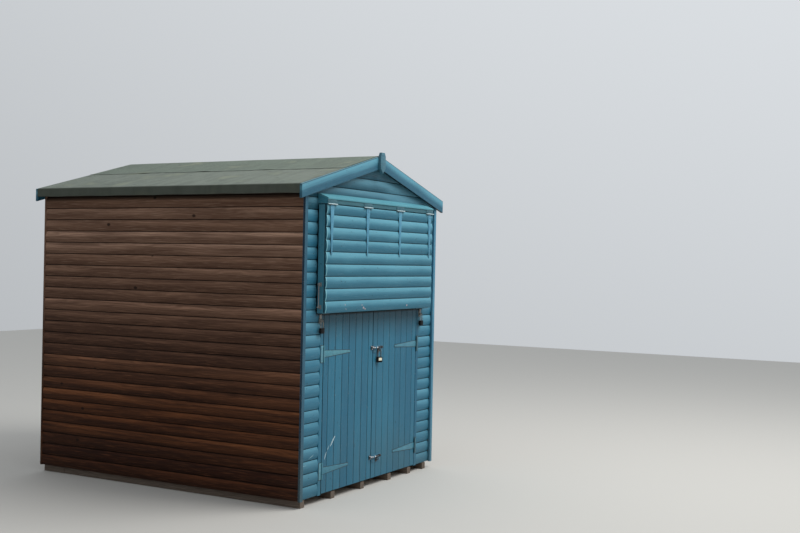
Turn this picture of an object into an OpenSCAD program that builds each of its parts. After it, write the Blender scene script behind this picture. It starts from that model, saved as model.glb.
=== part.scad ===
// Timber beach hut: loglap walls under a low felted gable roof, with a pair
// of boarded doors below a top-hung hatch. The front faces -Y and the ground
// is z = 0. The origin is under the middle of the whole hut.

/* [Hut] */
// Width over the side cladding
hut_w = 1920; // [1800:10:2200]
// Depth over the front and back cladding
hut_d = 2400; // [2000:10:3000]
// Courses of loglap below the top of the doorway
door_courses = 23; // [22:1:25]
// Height of the ridge of the roof boards above the ground
hut_h = 2462; // [2300:1:2700]
// Height of that ridge above the top of the doorway
gable_rise = 434; // [420:1:470]
// Slope of the roof in degrees
roof_pitch = 15; // [12:0.5:17]

/* [Base] */
// Width of a bearer
bearer_w = 50; // [40:1:75]
// Height of a bearer
bearer_h = 50; // [40:1:75]
// Thickness of the floor boards
floor_t = 18; // [15:1:22]

/* [Cladding] */
// Thickness of a loglap board at its crown
board_t = 20; // [18:0.5:24]
// Depth of the valley between two boards
board_valley = 8; // [4:0.5:9]
// Width of a corner strip
strip_w = 34; // [28:1:50]
// Thickness of a corner strip
strip_t = 18; // [14:1:22]
// Clearance between the top of the cladding and the roof boards
top_gap = 0.2; // [0.1:0.1:2]

/* [Frame] */
// Face width of a framing timber
stud_w = 38; // [32:1:50]
// Depth of a framing timber
stud_d = 50; // [38:1:63]
// Bays between the studs of a side wall
side_bays = 4; // [3:1:5]
// Bays between the studs of the back wall
back_bays = 4; // [3:1:5]
// Depth of the rafters in the gable frames
rafter_h = 60; // [50:1:75]
// Depth of the ridge beam
ridge_beam_h = 95; // [75:1:120]
// Depth of a purlin
purlin_h = 63; // [50:1:75]

/* [Roof] */
// Thickness of the roof boards
deck_t = 12; // [10:0.5:18]
// Thickness of one layer of felt
felt_t = 3; // [2:0.5:4]
// Overhang of the roof past the side cladding
eaves_out = 73; // [50:1:100]
// Thickness of an eaves board
eaves_t = 18; // [14:1:22]
// Drop of the felt over the eaves board
eaves_drop = 60; // [50:1:80]
// Width of the felt sheet laid over the ridge
ridge_sheet_w = 1000; // [600:10:1200]
// Width of a bargeboard, square to its slope
barge_w = 92; // [80:1:120]
// Thickness of a bargeboard
barge_t = 20; // [16:1:25]
// Gap between the two bargeboards at the apex
barge_gap = 2; // [1:0.5:4]
// Width of the finial
finial_w = 72; // [50:1:90]
// Thickness of the finial
finial_t = 22; // [16:1:28]
// Height of the finial
finial_h = 159; // [130:1:200]
// Height of the finial above the bargeboards
finial_up = 25; // [15:1:40]
// Length of the finial's point
finial_point = 42; // [20:1:60]
// Width of each clipped corner at the top of the finial
finial_clip = 14; // [5:1:24]

/* [Doors] */
// Width of the doorway between its jambs
doorway_w = 1361; // [1200:1:1400]
// Face width of a door jamb
jamb_w = 38; // [30:1:50]
// Clearance round each leaf
door_gap = 6; // [5:0.5:9]
// Thickness of the matchboards
leaf_t = 14; // [12:0.5:14]
// Width that one matchboard covers
match_w = 91; // [70:1:115]
// Depth of the V between two matchboards
vee = 3; // [1.5:0.5:4]
// Bottom of the doors above the bottom of the cladding
door_lift = 8; // [5:1:30]
// Thickness of a ledge on the back of a leaf
ledge_t = 22; // [18:1:30]
// Width of a ledge
ledge_w = 95; // [75:1:120]
// Distance of a ledge from the sides of its leaf
ledge_inset = 40; // [30:1:60]
// Lower hinges above the bottom of the cladding
low_hinge_z = 165; // [120:1:250]
// Upper hinges above the bottom of the cladding
high_hinge_z = 980; // [800:1:1100]

/* [Hatch] */
// Width of the hatch
hatch_w = 1560; // [1500:1:1640]
// Height of the hatch
hatch_h = 748; // [700:1:800]
// Depth of the hatch frame
hatch_frame_d = 50; // [40:1:63]
// Face width of a bar of the hatch frame
hatch_bar_w = 38; // [32:1:50]
// Clearance between the hatch frame and the cladding
hatch_stand = 8; // [5:0.5:12]
// Clearance between the hatch and its header
hatch_gap = 6; // [5:0.5:10]
// Clearance between the hatch and the doors below it
hatch_door_gap = 10; // [9:0.5:14]
// Height that one board of the hatch covers
hatch_course_h = 85; // [80:0.5:90]
// Height of the header at its front
header_h = 32; // [26:1:50]
// Height of the header at the wall
header_back_h = 62; // [50:1:90]
// Header underside above the top of the doorway
header_lift = 42; // [30:1:60]
// Thickness of the weather strip
weather_t = 12; // [8:1:18]
// Overhang of the weather strip past the header
weather_lip = 5; // [2:1:8]

/* [Hinges] */
// Length of a hinge strap from its pin
strap_len = 350; // [250:1:400]
// Width of a hinge strap at its knuckle
strap_root = 48; // [30:1:60]
// Width of a hinge strap at its tip
strap_tip = 14; // [10:1:20]
// Thickness of the hinge iron
iron_t = 3; // [2:0.5:4]
// Length of a hinge cross plate
cross_len = 116; // [90:1:140]
// Width of a hinge cross plate
cross_w = 32; // [25:1:36]
// Radius of a hinge knuckle
knuckle_r = 5.5; // [4.5:0.5:7]
// Radius of a hinge pin
pin_r = 2.5; // [2:0.25:3]
// Clearance behind a hinge's knuckles and between them
knuckle_gap = 0.5; // [0.3:0.1:1]
// Clearance round a hinge pin in its strap
pin_fit = 0.3; // [0.2:0.1:0.6]

/* [Fastenings] */
// Radius of the corners of the iron plates
corner_r = 4; // [2:0.5:6]
// Length of a padbolt's back plate
bolt_plate_l = 130; // [110:1:160]
// Height of a padbolt's back plate
bolt_plate_h = 56; // [54:1:70]
// Radius of a padbolt's rod
bolt_r = 6; // [4:0.5:7]
// Clearance round a rod in its guides
bolt_fit = 0.3; // [0.2:0.1:0.6]
// Thickness of a guide below the bore for the rod
bolt_sole = 1; // [0.5:0.5:3]
// Height of a padbolt's back plate above its guides
bolt_margin = 6; // [4:0.5:10]
// Distance of a padbolt from the edge of its leaf
bolt_inset = 2; // [1:0.5:5]
// Middle padbolt above the bottom of the cladding
high_bolt_z = 985; // [900:1:1100]
// Low padbolt above the bottom of the cladding
low_bolt_z = 165; // [140:1:350]
// Radius of a staple's rod
staple_r = 2.5; // [2:0.25:3]
// Radius of a staple's bend, to the middle of its rod
staple_bend = 7.5; // [7:0.25:9]
// Length of a staple's straight legs
staple_leg = 14; // [12:0.5:20]
// Clearance between a padbolt's rod and the staple below it
staple_gap = 4; // [3:0.5:8]
// Width of a padlock
padlock_w = 44; // [38:1:55]
// Height of a padlock's body
padlock_h = 38; // [28:1:45]
// Thickness of a padlock
padlock_t = 18; // [12:1:20]
// Radius of a padlock's shackle rod
shackle_r = 3.5; // [2.5:0.25:3.75]
// Length of a shackle above its padlock
shackle_len = 50; // [30:1:60]
// Clearance between a shackle and the staple it hangs on
shackle_fit = 0.3; // [0.1:0.1:0.5]
// Turn of the padlock that hangs on the doors, in degrees
padlock_turn = 18; // [0:1:20]
// Width of a hasp
hasp_w = 32; // [28:1:40]
// Length of a hasp below the hatch
hasp_len = 62; // [55:1:80]
// Length of the hook rod on the side of the hatch
hook_len = 155; // [120:1:200]
// Radius of the hook rod
hook_r = 4; // [3:0.5:5]
// Lower end of the hook rod above the bottom of the hatch
hook_up = 43; // [40:1:120]
// Width of the hook's two brackets
hook_plate_w = 24; // [18:1:30]
// Height of the hook's two brackets
hook_plate_h = 28; // [22:1:36]
// Radius of the pin that the hook hangs on
hook_pin_r = 2.5; // [2:0.25:3]
// Clearance of the hook's eye round its pin
hook_fit = 0.6; // [0.4:0.1:1]

/* [Hidden] */
$fn = 48;

// Places of the bearers across the floor, from its left edge to its right edge
bearer_places = [0.006, 0.215, 0.436, 0.657, 0.828, 0.965];

floor_z = bearer_h + floor_t;
head_z = hut_h - gable_rise;
course_h = (head_z - bearer_h) / door_courses;
wall_x = hut_w / 2;
back_x = wall_x - board_t;
room_x = back_x - stud_d;
eaves_x = wall_x + eaves_out;
deck_v = deck_t / cos(roof_pitch);
felt_v = felt_t / cos(roof_pitch);
barge_v = barge_w / cos(roof_pitch);

hatch_out = hatch_stand + hatch_frame_d + board_t;
axis_out = knuckle_r + knuckle_gap;
front_reach = hatch_out + axis_out + knuckle_r;
back_reach = strip_t + barge_t;
front_y = -(hut_d + back_reach - front_reach) / 2;
back_y = front_y + hut_d;
roof_front_y = front_y - strip_t;
roof_len = hut_d + 2 * strip_t;

jamb_x = doorway_w / 2;
leaf_w = (doorway_w - 3 * door_gap) / 2;
door_z = bearer_h + door_lift;
header_z = head_z + header_lift;
hatch_top = header_z - hatch_gap;
hatch_z = hatch_top - hatch_h;
door_top = hatch_z - hatch_door_gap;
hinge_heights = [bearer_h + low_hinge_z, bearer_h + high_hinge_z];
door_pin_x = jamb_x - door_gap / 2;
door_pin_y = front_y - axis_out;
hatch_pin_z = header_z - hatch_gap / 2;
hatch_face_y = front_y - hatch_out;
hatch_hinge_x = [for (i = [-1.5 : 1 : 1.5]) i * (hatch_w - cross_len) / 3];

bolt_heights = [bearer_h + high_bolt_z, bearer_h + low_bolt_z];
bolt_out = bolt_r + bolt_fit + bolt_sole;
bolt_up = bolt_r + bolt_fit + iron_t + bolt_margin;
bolt_x = door_gap / 2 + bolt_inset + bolt_plate_l / 2;
guide_w = 14;
keeper_w = 2 * guide_w;
lug_w = 24;
staple_drop = bolt_r + staple_gap + staple_bend + staple_r;
staple_z = door_top - hasp_len + staple_drop;
hasp_x = jamb_x + cross_w + hasp_w / 2;

// Height of the top of the roof boards, of their underside and of the felt
function roof_z(x) = hut_h - abs(x) * tan(roof_pitch);
function under_z(x) = roof_z(x) - deck_v;
function felt_z(x) = roof_z(x) + felt_v;

// Thickness of a loglap board at u, from 0 at its bottom edge to 1 at its top:
// an arc of a circle through both valleys and the crown
function log_r(h) = (h * h / 4 + board_valley * board_valley) / (2 * board_valley);
function log_t(h, u) = board_t - log_r(h) + sqrt(pow(log_r(h), 2) - pow((u - 0.5) * h, 2));

// Section of boards laid one over the other, with their backs on x = 0
module log_section(h, from_z, courses) {
    steps = 6;
    face = [
        for (i = [0 : courses - 1]) for (k = [0 : steps - 1])
            [log_t(h, k / steps), from_z + (i + k / steps) * h]
    ];
    top = from_z + courses * h;
    polygon(concat([[0, from_z]], face, [[log_t(h, 1), top], [0, top]]));
}

// Cladding on a front face, from x0 to x1, with its backs at y
module front_logs(x0, x1, y, h, from_z, courses) {
    translate([x1, y, 0]) rotate([90, 0, -90])
        linear_extrude(x1 - x0) log_section(h, from_z, courses);
}

// A shape drawn in the front view, from y to y + depth
module front_plate(y, depth) {
    translate([0, y + depth, 0]) rotate([90, 0, 0]) linear_extrude(depth) children();
}

// Outline of everything that stands gap below the roof boards, out to x on both sides
module under_roof(x, gap) {
    side = under_z(x) - gap;
    polygon([[-x, 0], [x, 0], [x, side], [0, under_z(0) - gap], [-x, side]]);
}

// Band of height v that follows the slopes, from x0 to x1 on one side
module slope_band(x0, x1, lift, v) {
    polygon([
        [x0, roof_z(x0) + lift - v], [x1, roof_z(x1) + lift - v],
        [x1, roof_z(x1) + lift], [x0, roof_z(x0) + lift]
    ]);
}

module both_sides() {
    children();
    mirror([1, 0, 0]) children();
}

module bearers() {
    color("rosybrown")
    for (place = bearer_places)
        translate([-back_x + place * (2 * back_x - bearer_w), front_y, 0])
            cube([bearer_w, hut_d, bearer_h]);
}

module floor() {
    color("burlywood")
    translate([-back_x, front_y + board_t, bearer_h])
        cube([2 * back_x, hut_d - 2 * board_t, floor_t]);
}

module side_frame() {
    len = hut_d - 2 * board_t;
    plate_z = under_z(back_x) - stud_w;
    translate([room_x, front_y + board_t, floor_z]) cube([stud_d, len, stud_w]);
    front_plate(front_y + board_t, len)
        polygon([
            [room_x, plate_z], [back_x, plate_z],
            [back_x, under_z(back_x)], [room_x, under_z(room_x)]
        ]);
    for (i = [0 : side_bays])
        translate([room_x, front_y + board_t + i * (len - stud_w) / side_bays, floor_z])
            cube([stud_d, stud_w, plate_z - floor_z]);
}

module side_frames() {
    color("tan") both_sides() side_frame();
}

// Band of height v that follows both slopes out to x
module chevron(x, lift, v) {
    low = roof_z(x) + lift - v;
    polygon([
        [-x, low], [0, roof_z(0) + lift - v], [x, low],
        [x, low + v], [0, roof_z(0) + lift], [-x, low + v]
    ]);
}

// Upright of a gable frame from x to x + stud_w, cut off under the roof
module upright(x) {
    intersection() {
        translate([x, floor_z]) square([stud_w, hut_h]);
        under_roof(room_x, 0);
    }
}

module front_frame() {
    color("tan")
    front_plate(front_y + board_t, stud_d) {
        chevron(room_x, -deck_v, rafter_h);
        for (s = [0, 1]) mirror([s, 0]) {
            upright(room_x - stud_w);
            upright(jamb_x);
            translate([jamb_x, floor_z]) square([room_x - jamb_x, stud_w]);
        }
        translate([-room_x, head_z]) square([2 * room_x, stud_w]);
    }
}

module back_frame() {
    color("tan")
    front_plate(back_y - board_t - stud_d, stud_d) {
        chevron(room_x, -deck_v, rafter_h);
        translate([-room_x, floor_z]) square([2 * room_x, stud_w]);
        for (i = [0 : back_bays])
            upright(-room_x + i * (2 * room_x - stud_w) / back_bays);
    }
}

// Side cladding reaches both corners and covers the ends of the front boards
module side_cladding() {
    rows = ceil((under_z(back_x) - bearer_h) / course_h);
    front_plate(front_y, hut_d)
        intersection() {
            translate([back_x, 0]) log_section(course_h, bearer_h, rows);
            under_roof(wall_x, top_gap);
        }
}

module left_wall() {
    color("sienna") mirror([1, 0, 0]) side_cladding();
}

module right_wall() {
    color("sienna") side_cladding();
}

module back_wall() {
    rows = ceil((under_z(0) - bearer_h) / course_h);
    color("sienna")
    intersection() {
        translate([-back_x, back_y - board_t, 0]) rotate([90, 0, 90])
            linear_extrude(2 * back_x) log_section(course_h, bearer_h, rows);
        front_plate(back_y - board_t, board_t) under_roof(back_x, top_gap);
    }
}

module front_left_panel() {
    color("steelblue")
    front_logs(-back_x, -jamb_x - jamb_w, front_y + board_t, course_h, bearer_h, door_courses);
}

module front_right_panel() {
    color("steelblue")
    front_logs(jamb_x + jamb_w, back_x, front_y + board_t, course_h, bearer_h, door_courses);
}

module front_gable() {
    rows = ceil((under_z(0) - head_z) / course_h);
    color("steelblue")
    intersection() {
        front_logs(-back_x, back_x, front_y + board_t, course_h, head_z, rows);
        front_plate(front_y, board_t) under_roof(back_x, top_gap);
    }
}

module corner_strips(y) {
    front_plate(y, strip_t)
        for (s = [0, 1]) mirror([s, 0])
            polygon([
                [wall_x - strip_w, bearer_h], [wall_x, bearer_h],
                [wall_x, under_z(wall_x) - top_gap],
                [wall_x - strip_w, under_z(wall_x - strip_w) - top_gap]
            ]);
}

module front_corner_strips() {
    color("steelblue") corner_strips(front_y - strip_t);
}

module back_corner_strips() {
    color("sienna") corner_strips(back_y);
}

module door_jambs() {
    color("steelblue")
    both_sides()
        translate([jamb_x, front_y, bearer_h]) cube([jamb_w, board_t, head_z - bearer_h]);
}

module roof_beams() {
    len = hut_d - 2 * board_t - 2 * stud_d;
    mid_x = room_x / 2;
    color("tan")
    front_plate(front_y + board_t + stud_d, len) {
        translate([-stud_w / 2, under_z(stud_w / 2) - ridge_beam_h])
            square([stud_w, ridge_beam_h]);
        for (s = [0, 1]) mirror([s, 0])
            intersection() {
                translate([mid_x - stud_w / 2, under_z(mid_x) - purlin_h])
                    square([stud_w, 2 * purlin_h]);
                under_roof(room_x, 0);
            }
    }
}

module roof_boards() {
    front_plate(roof_front_y, roof_len) slope_band(0, eaves_x - felt_t, 0, deck_v);
}

module left_roof_boards() {
    color("tan") mirror([1, 0, 0]) roof_boards();
}

module right_roof_boards() {
    color("tan") roof_boards();
}

module eaves_boards() {
    outer = eaves_x - felt_t;
    inner = outer - eaves_t;
    bottom = felt_z(eaves_x) - eaves_drop;
    color("darkolivegreen")
    both_sides()
        front_plate(roof_front_y, roof_len)
            polygon([[inner, bottom], [outer, bottom], [outer, under_z(outer)], [inner, under_z(inner)]]);
}

// One slope of felt, folded down over the eaves board
module felt_slope() {
    outer = eaves_x - felt_t;
    bottom = felt_z(eaves_x) - eaves_drop;
    front_plate(roof_front_y, roof_len)
        polygon([
            [0, roof_z(0)], [outer, roof_z(outer)], [outer, bottom],
            [eaves_x, bottom], [eaves_x, felt_z(eaves_x)], [0, felt_z(0)]
        ]);
}

module left_felt() {
    color("slategray") mirror([1, 0, 0]) felt_slope();
}

module right_felt() {
    color("slategray") felt_slope();
}

module ridge_felt() {
    reach = ridge_sheet_w / 2 * cos(roof_pitch);
    color("slategray")
    front_plate(roof_front_y, roof_len) chevron(reach, 2 * felt_v, felt_v);
}

module bargeboards(y) {
    both_sides()
        front_plate(y, barge_t) slope_band(barge_gap / 2, eaves_x, felt_v, barge_v);
}

module front_bargeboards() {
    color("steelblue") bargeboards(roof_front_y - barge_t);
}

module back_bargeboards() {
    color("steelblue") bargeboards(back_y + strip_t);
}

module finial() {
    top = felt_z(0) + finial_up;
    half = finial_w / 2;
    nose = half - finial_clip;
    shoulder = top - 2 * finial_clip;
    color("steelblue")
    front_plate(roof_front_y - barge_t - finial_t, finial_t)
        polygon([
            [0, top - finial_h], [half, top - finial_h + finial_point], [half, shoulder],
            [nose, top], [-nose, top], [-half, shoulder],
            [-half, top - finial_h + finial_point]
        ]);
}

// Header block with a sloping top that sheds the rain
module hatch_header() {
    color("steelblue")
    translate([hatch_w / 2, front_y, 0]) rotate([90, 0, -90]) linear_extrude(hatch_w)
        polygon([
            [0, header_z], [hatch_out, header_z],
            [hatch_out, header_z + header_h], [0, header_z + header_back_h]
        ]);
}

module weather_strip() {
    fall = (header_back_h - header_h) / hatch_out;
    lip_x = hatch_out + weather_lip;
    color("lightblue")
    translate([hatch_w / 2, front_y, 0]) rotate([90, 0, -90]) linear_extrude(hatch_w)
        polygon([
            [0, header_z + header_back_h], [lip_x, header_z + header_back_h - lip_x * fall],
            [lip_x, header_z + header_back_h - lip_x * fall + weather_t],
            [0, header_z + header_back_h + weather_t]
        ]);
}

module hatch_frame() {
    half = hatch_w / 2;
    color("steelblue")
    front_plate(front_y - hatch_stand - hatch_frame_d, hatch_frame_d) {
        for (z = [hatch_z, hatch_top - hatch_bar_w])
            translate([-half, z]) square([hatch_w, hatch_bar_w]);
        for (s = [0, 1]) mirror([s, 0]) {
            translate([half - hatch_bar_w, hatch_z]) square([hatch_bar_w, hatch_h]);
            translate([hatch_hinge_x[2] - hatch_bar_w / 2, hatch_z]) square([hatch_bar_w, hatch_h]);
        }
    }
}

module hatch_boards() {
    rows = ceil(hatch_h / hatch_course_h);
    back = front_y - hatch_stand - hatch_frame_d;
    color("steelblue")
    intersection() {
        front_logs(-hatch_w / 2, hatch_w / 2, back, hatch_course_h, hatch_z, rows);
        translate([-hatch_w / 2, back - board_t, hatch_z]) cube([hatch_w, board_t, hatch_h]);
    }
}

// Tapered strap along +X from a knuckle whose pin is the Z axis. The strap's
// back lies axis_out behind the pin.
module hinge_strap() {
    tip_r = strap_tip / 2;
    end_x = strap_len - tip_r;
    difference() {
        union() {
            translate([0, axis_out - iron_t, 0]) rotate([-90, 0, 0])
                linear_extrude(iron_t) {
                    polygon([
                        [0, -strap_root / 2], [end_x, -tip_r], [end_x, tip_r], [0, strap_root / 2]
                    ]);
                    translate([end_x, 0]) circle(tip_r);
                }
            translate([0, 0, -strap_root / 2]) cylinder(r = knuckle_r, h = strap_root);
        }
        translate([0, 0, -strap_root]) cylinder(r = pin_r + pin_fit, h = 2 * strap_root);
    }
}

// Cross plate towards -X from the same pin, with the two outer knuckles
module hinge_plate() {
    knuckle_l = (cross_len - strap_root) / 2 - knuckle_gap;
    translate([0, 0, -cross_len / 2]) cylinder(r = pin_r, h = cross_len);
    for (s = [0, 1]) mirror([0, 0, s])
        translate([0, 0, cross_len / 2 - knuckle_l]) {
            cylinder(r = knuckle_r, h = knuckle_l);
            translate([-knuckle_r - 1, axis_out - iron_t, 0])
                cube([knuckle_r + 1, iron_t, knuckle_l]);
        }
    translate([-cross_w, axis_out - iron_t, -cross_len / 2])
        cube([cross_w - knuckle_r - 1, iron_t, cross_len]);
}

// Places children at the pin of each hinge of the left leaf
module at_door_pins() {
    for (z = hinge_heights) translate([-door_pin_x, door_pin_y, z]) children();
}

// Places children at the pin of each hatch hinge, with the strap hanging down
module at_hatch_pins() {
    for (x = hatch_hinge_x)
        translate([x, hatch_face_y - axis_out, hatch_pin_z]) rotate([0, 90, 0]) children();
}

module hatch_hinge_plates() {
    color("cadetblue") at_hatch_pins() hinge_plate();
}

module hatch_hinge_straps() {
    color("cadetblue") at_hatch_pins() hinge_strap();
}

module door_hinge_plates() {
    color("cadetblue") both_sides() at_door_pins() hinge_plate();
}

module left_door_straps() {
    color("cadetblue") at_door_pins() hinge_strap();
}

module right_door_straps() {
    color("cadetblue")
    translate([2 * door_pin_x, 0, 0]) at_door_pins() rotate([0, 180, 0]) hinge_strap();
}

// Boards of the right leaf: whole boards from the middle out, and one cut at each side
module leaf_boards() {
    joints = floor((leaf_w / 2 - 2 * vee) / match_w);
    front = [
        for (i = [-joints : joints]) for (k = [-1 : 1])
            [leaf_w / 2 + i * match_w + k * vee, k == 0 ? vee : 0]
    ];
    translate([door_gap / 2, front_y, door_z])
        linear_extrude(door_top - door_z)
            polygon(concat([[0, 0]], front, [[leaf_w, 0], [leaf_w, leaf_t], [0, leaf_t]]));
}

// Back of the right leaf: a ledge behind each hinge and one between, and two braces
module leaf_ledges() {
    x0 = door_gap / 2 + ledge_inset;
    x1 = door_gap / 2 + leaf_w - ledge_inset;
    heights = [hinge_heights[0], (hinge_heights[0] + hinge_heights[1]) / 2, hinge_heights[1]];
    front_plate(front_y + leaf_t, ledge_t) {
        for (z = heights)
            translate([x0, z - ledge_w / 2]) square([x1 - x0, ledge_w]);
        for (i = [0, 1])
            polygon([
                [x1 - ledge_w, heights[i]], [x1, heights[i]],
                [x0 + ledge_w, heights[i + 1]], [x0, heights[i + 1]]
            ]);
    }
}

module left_door() {
    color("steelblue") mirror([1, 0, 0]) leaf_boards();
}

module right_door() {
    color("steelblue") leaf_boards();
}

module left_door_ledges() {
    color("tan") mirror([1, 0, 0]) leaf_ledges();
}

module right_door_ledges() {
    color("tan") leaf_ledges();
}

// Plate w wide, h high and t thick with rounded corners, centred, its back on y = 0
module plate(w, h, t) {
    rotate([90, 0, 0]) linear_extrude(t) {
        square([w - 2 * corner_r, h], center = true);
        square([w, h - 2 * corner_r], center = true);
        for (x = [-1, 1]) for (z = [-1, 1])
            translate([x * (w / 2 - corner_r), z * (h / 2 - corner_r)]) circle(corner_r);
    }
}

// Bent rod that stands out of a plate's face at y = 0, for a padlock
module staple() {
    translate([0, -staple_leg, 0]) rotate([0, -90, 180])
        rotate_extrude(angle = 180) translate([staple_bend, 0]) circle(staple_r);
    for (s = [-1, 1])
        translate([0, 0, s * staple_bend]) rotate([90, 0, 0])
            cylinder(r = staple_r, h = staple_leg);
}

// Slot in a hasp or a lug that passes over a staple
module staple_slot() {
    w = 2 * (staple_r + 1);
    h = 2 * (staple_bend + staple_r + 1);
    translate([-w / 2, -5 * iron_t, -h / 2]) cube([w, 6 * iron_t, h]);
}

// Padlock that hangs on a staple whose plate has its face at y = 0
module padlock() {
    bow_r = padlock_w / 2 - 2 * shackle_r;
    leg = shackle_len - bow_r;
    sag = staple_bend - staple_r - shackle_r - shackle_fit;
    translate([0, -staple_leg, -sag - bow_r]) {
        rotate([90, 0, 0])
            rotate_extrude(angle = 180) translate([bow_r, 0]) circle(shackle_r);
        for (s = [-1, 1])
            translate([s * bow_r, 0, -leg]) cylinder(r = shackle_r, h = leg);
        translate([0, padlock_t / 2, -leg - padlock_h / 2])
            plate(padlock_w, padlock_h, padlock_t);
    }
}

// Guide w long that holds a rod along X, bored through, on a plate's face at y = 0
module bolt_guide(w) {
    outer = bolt_r + bolt_fit + iron_t;
    difference() {
        union() {
            translate([0, -bolt_out, 0]) rotate([0, 90, 0]) cylinder(r = outer, h = w);
            translate([0, -bolt_out, -outer]) cube([w, bolt_out, 2 * outer]);
        }
        translate([-1, -bolt_out, 0]) rotate([0, 90, 0]) cylinder(r = bolt_r + bolt_fit, h = w + 2);
    }
}

// Padbolt on the right leaf, its rod at height z. A lug on the rod drops over the
// staple, and the padlock's shackle holds it there.
module padbolt(z) {
    plate_z = bolt_up - bolt_plate_h / 2;
    translate([bolt_x, front_y, z]) {
        translate([0, 0, plate_z]) plate(bolt_plate_l, bolt_plate_h, iron_t);
        for (x = [guide_w - bolt_plate_l / 2, bolt_plate_l / 2 - 2 * guide_w])
            translate([x, -iron_t, 0]) bolt_guide(guide_w);
        translate([0, -iron_t, -staple_drop]) staple();
        translate([-bolt_plate_l / 2, -iron_t - bolt_out, 0]) rotate([0, 90, 0])
            cylinder(r = bolt_r, h = bolt_plate_l - guide_w / 2);
        difference() {
            translate([-lug_w / 2, -2 * iron_t, bolt_up + 1 - bolt_plate_h])
                cube([lug_w, iron_t, bolt_plate_h - bolt_up - 1]);
            translate([0, 0, -staple_drop]) staple_slot();
        }
    }
}

module door_bolts() {
    color("dimgray") for (z = bolt_heights) padbolt(z);
}

// Keepers on the left leaf that the rods shoot into
module bolt_keepers() {
    color("dimgray")
    for (z = bolt_heights)
        translate([-door_gap / 2 - 1 - keeper_w, front_y, z]) {
            translate([keeper_w / 2, 0, 0]) plate(keeper_w, 2 * bolt_up, iron_t);
            translate([guide_w / 2, -iron_t, 0]) bolt_guide(guide_w);
        }
}

module door_padlock() {
    color("goldenrod")
    translate([bolt_x, front_y - iron_t, bolt_heights[0] - staple_drop])
        translate([0, -staple_leg, 0]) rotate([0, 0, -padlock_turn]) translate([0, staple_leg, 0])
            padlock();
}

// Leaves of the hasps, under the hatch
module hatch_hasps() {
    color("dimgray")
    both_sides()
        translate([hasp_x - hasp_w, front_y - hatch_stand - hatch_frame_d, hatch_z - iron_t])
            cube([2 * hasp_w, hatch_frame_d, iron_t]);
}

// Straps of the hasps over the staples on the wall
module hasp_straps() {
    color("dimgray")
    both_sides()
        translate([hasp_x, front_y, staple_z]) {
            plate(hasp_w, 2 * staple_drop, iron_t);
            translate([0, -iron_t, 0]) staple();
            difference() {
                translate([0, -iron_t, door_top - hasp_len / 2 - staple_z])
                    plate(hasp_w - corner_r, hasp_len, iron_t);
                staple_slot();
            }
        }
}

module hatch_padlocks() {
    color("dimgray")
    both_sides()
        translate([hasp_x, front_y - iron_t, staple_z]) padlock();
}

// Hook rod on the left side of the hatch: it hangs by an eye on a pin, and its bent
// lower end is held by a bracket
module hatch_hook() {
    reach = 3 * hook_r;
    eye_hole_r = hook_pin_r + hook_fit;
    eye_z = hook_len - eye_hole_r + hook_pin_r + shackle_fit;
    color("saddlebrown")
    translate([-hatch_w / 2, front_y - hatch_stand - hatch_frame_d / 2, hatch_z + hook_up]) {
        for (z = [0, hook_len])
            translate([-iron_t, -hook_plate_w / 2, z - hook_plate_h / 2])
                cube([iron_t, hook_plate_w, hook_plate_h]);
        translate([-reach - 1.5 * hook_r, 0, hook_len]) rotate([0, 90, 0])
            cylinder(r = hook_pin_r, h = reach + 1.5 * hook_r - iron_t);
        translate([-reach, 0, eye_z]) rotate([0, 90, 0])
            rotate_extrude() translate([eye_hole_r + hook_r, 0]) circle(hook_r);
        translate([-reach, 0, 0]) cylinder(r = hook_r, h = eye_z - eye_hole_r - hook_r);
        translate([-2.5 * reach, 0, 0]) rotate([0, 90, 0])
            cylinder(r = hook_r, h = 2.5 * reach - iron_t);
    }
}

bearers();
floor();
side_frames();
front_frame();
back_frame();
left_wall();
right_wall();
back_wall();
front_left_panel();
front_right_panel();
front_gable();
front_corner_strips();
back_corner_strips();
door_jambs();
roof_beams();
left_roof_boards();
right_roof_boards();
eaves_boards();
left_felt();
right_felt();
ridge_felt();
front_bargeboards();
back_bargeboards();
finial();
hatch_header();
weather_strip();
hatch_frame();
hatch_boards();
hatch_hinge_plates();
hatch_hinge_straps();
hatch_hook();
hatch_hasps();
hasp_straps();
hatch_padlocks();
left_door();
left_door_ledges();
left_door_straps();
right_door();
right_door_ledges();
right_door_straps();
door_hinge_plates();
door_bolts();
bolt_keepers();
door_padlock();
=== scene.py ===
"""Timber beach hut, blue in front and brown at the sides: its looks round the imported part.

Everything is in metres in the part's own frame. The front faces -Y and the ground is z = 0.
"""

from collections import namedtuple

import bpy
import numpy as np
from mathutils import Matrix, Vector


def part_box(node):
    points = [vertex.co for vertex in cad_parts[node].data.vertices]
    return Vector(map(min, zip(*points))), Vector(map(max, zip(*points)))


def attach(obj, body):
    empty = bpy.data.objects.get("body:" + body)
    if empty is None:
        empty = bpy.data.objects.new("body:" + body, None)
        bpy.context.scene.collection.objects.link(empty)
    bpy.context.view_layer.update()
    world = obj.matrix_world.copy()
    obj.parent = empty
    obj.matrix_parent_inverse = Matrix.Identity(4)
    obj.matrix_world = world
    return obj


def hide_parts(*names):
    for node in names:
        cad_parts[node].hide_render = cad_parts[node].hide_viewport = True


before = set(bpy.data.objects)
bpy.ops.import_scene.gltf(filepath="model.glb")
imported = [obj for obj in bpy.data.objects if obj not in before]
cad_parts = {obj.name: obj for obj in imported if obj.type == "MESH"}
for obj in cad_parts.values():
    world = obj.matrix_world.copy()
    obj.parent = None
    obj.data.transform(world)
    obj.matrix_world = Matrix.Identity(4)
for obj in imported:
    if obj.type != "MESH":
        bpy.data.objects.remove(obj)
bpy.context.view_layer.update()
rng = np.random.default_rng(11)
X, Y, Z = np.eye(3)


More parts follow.
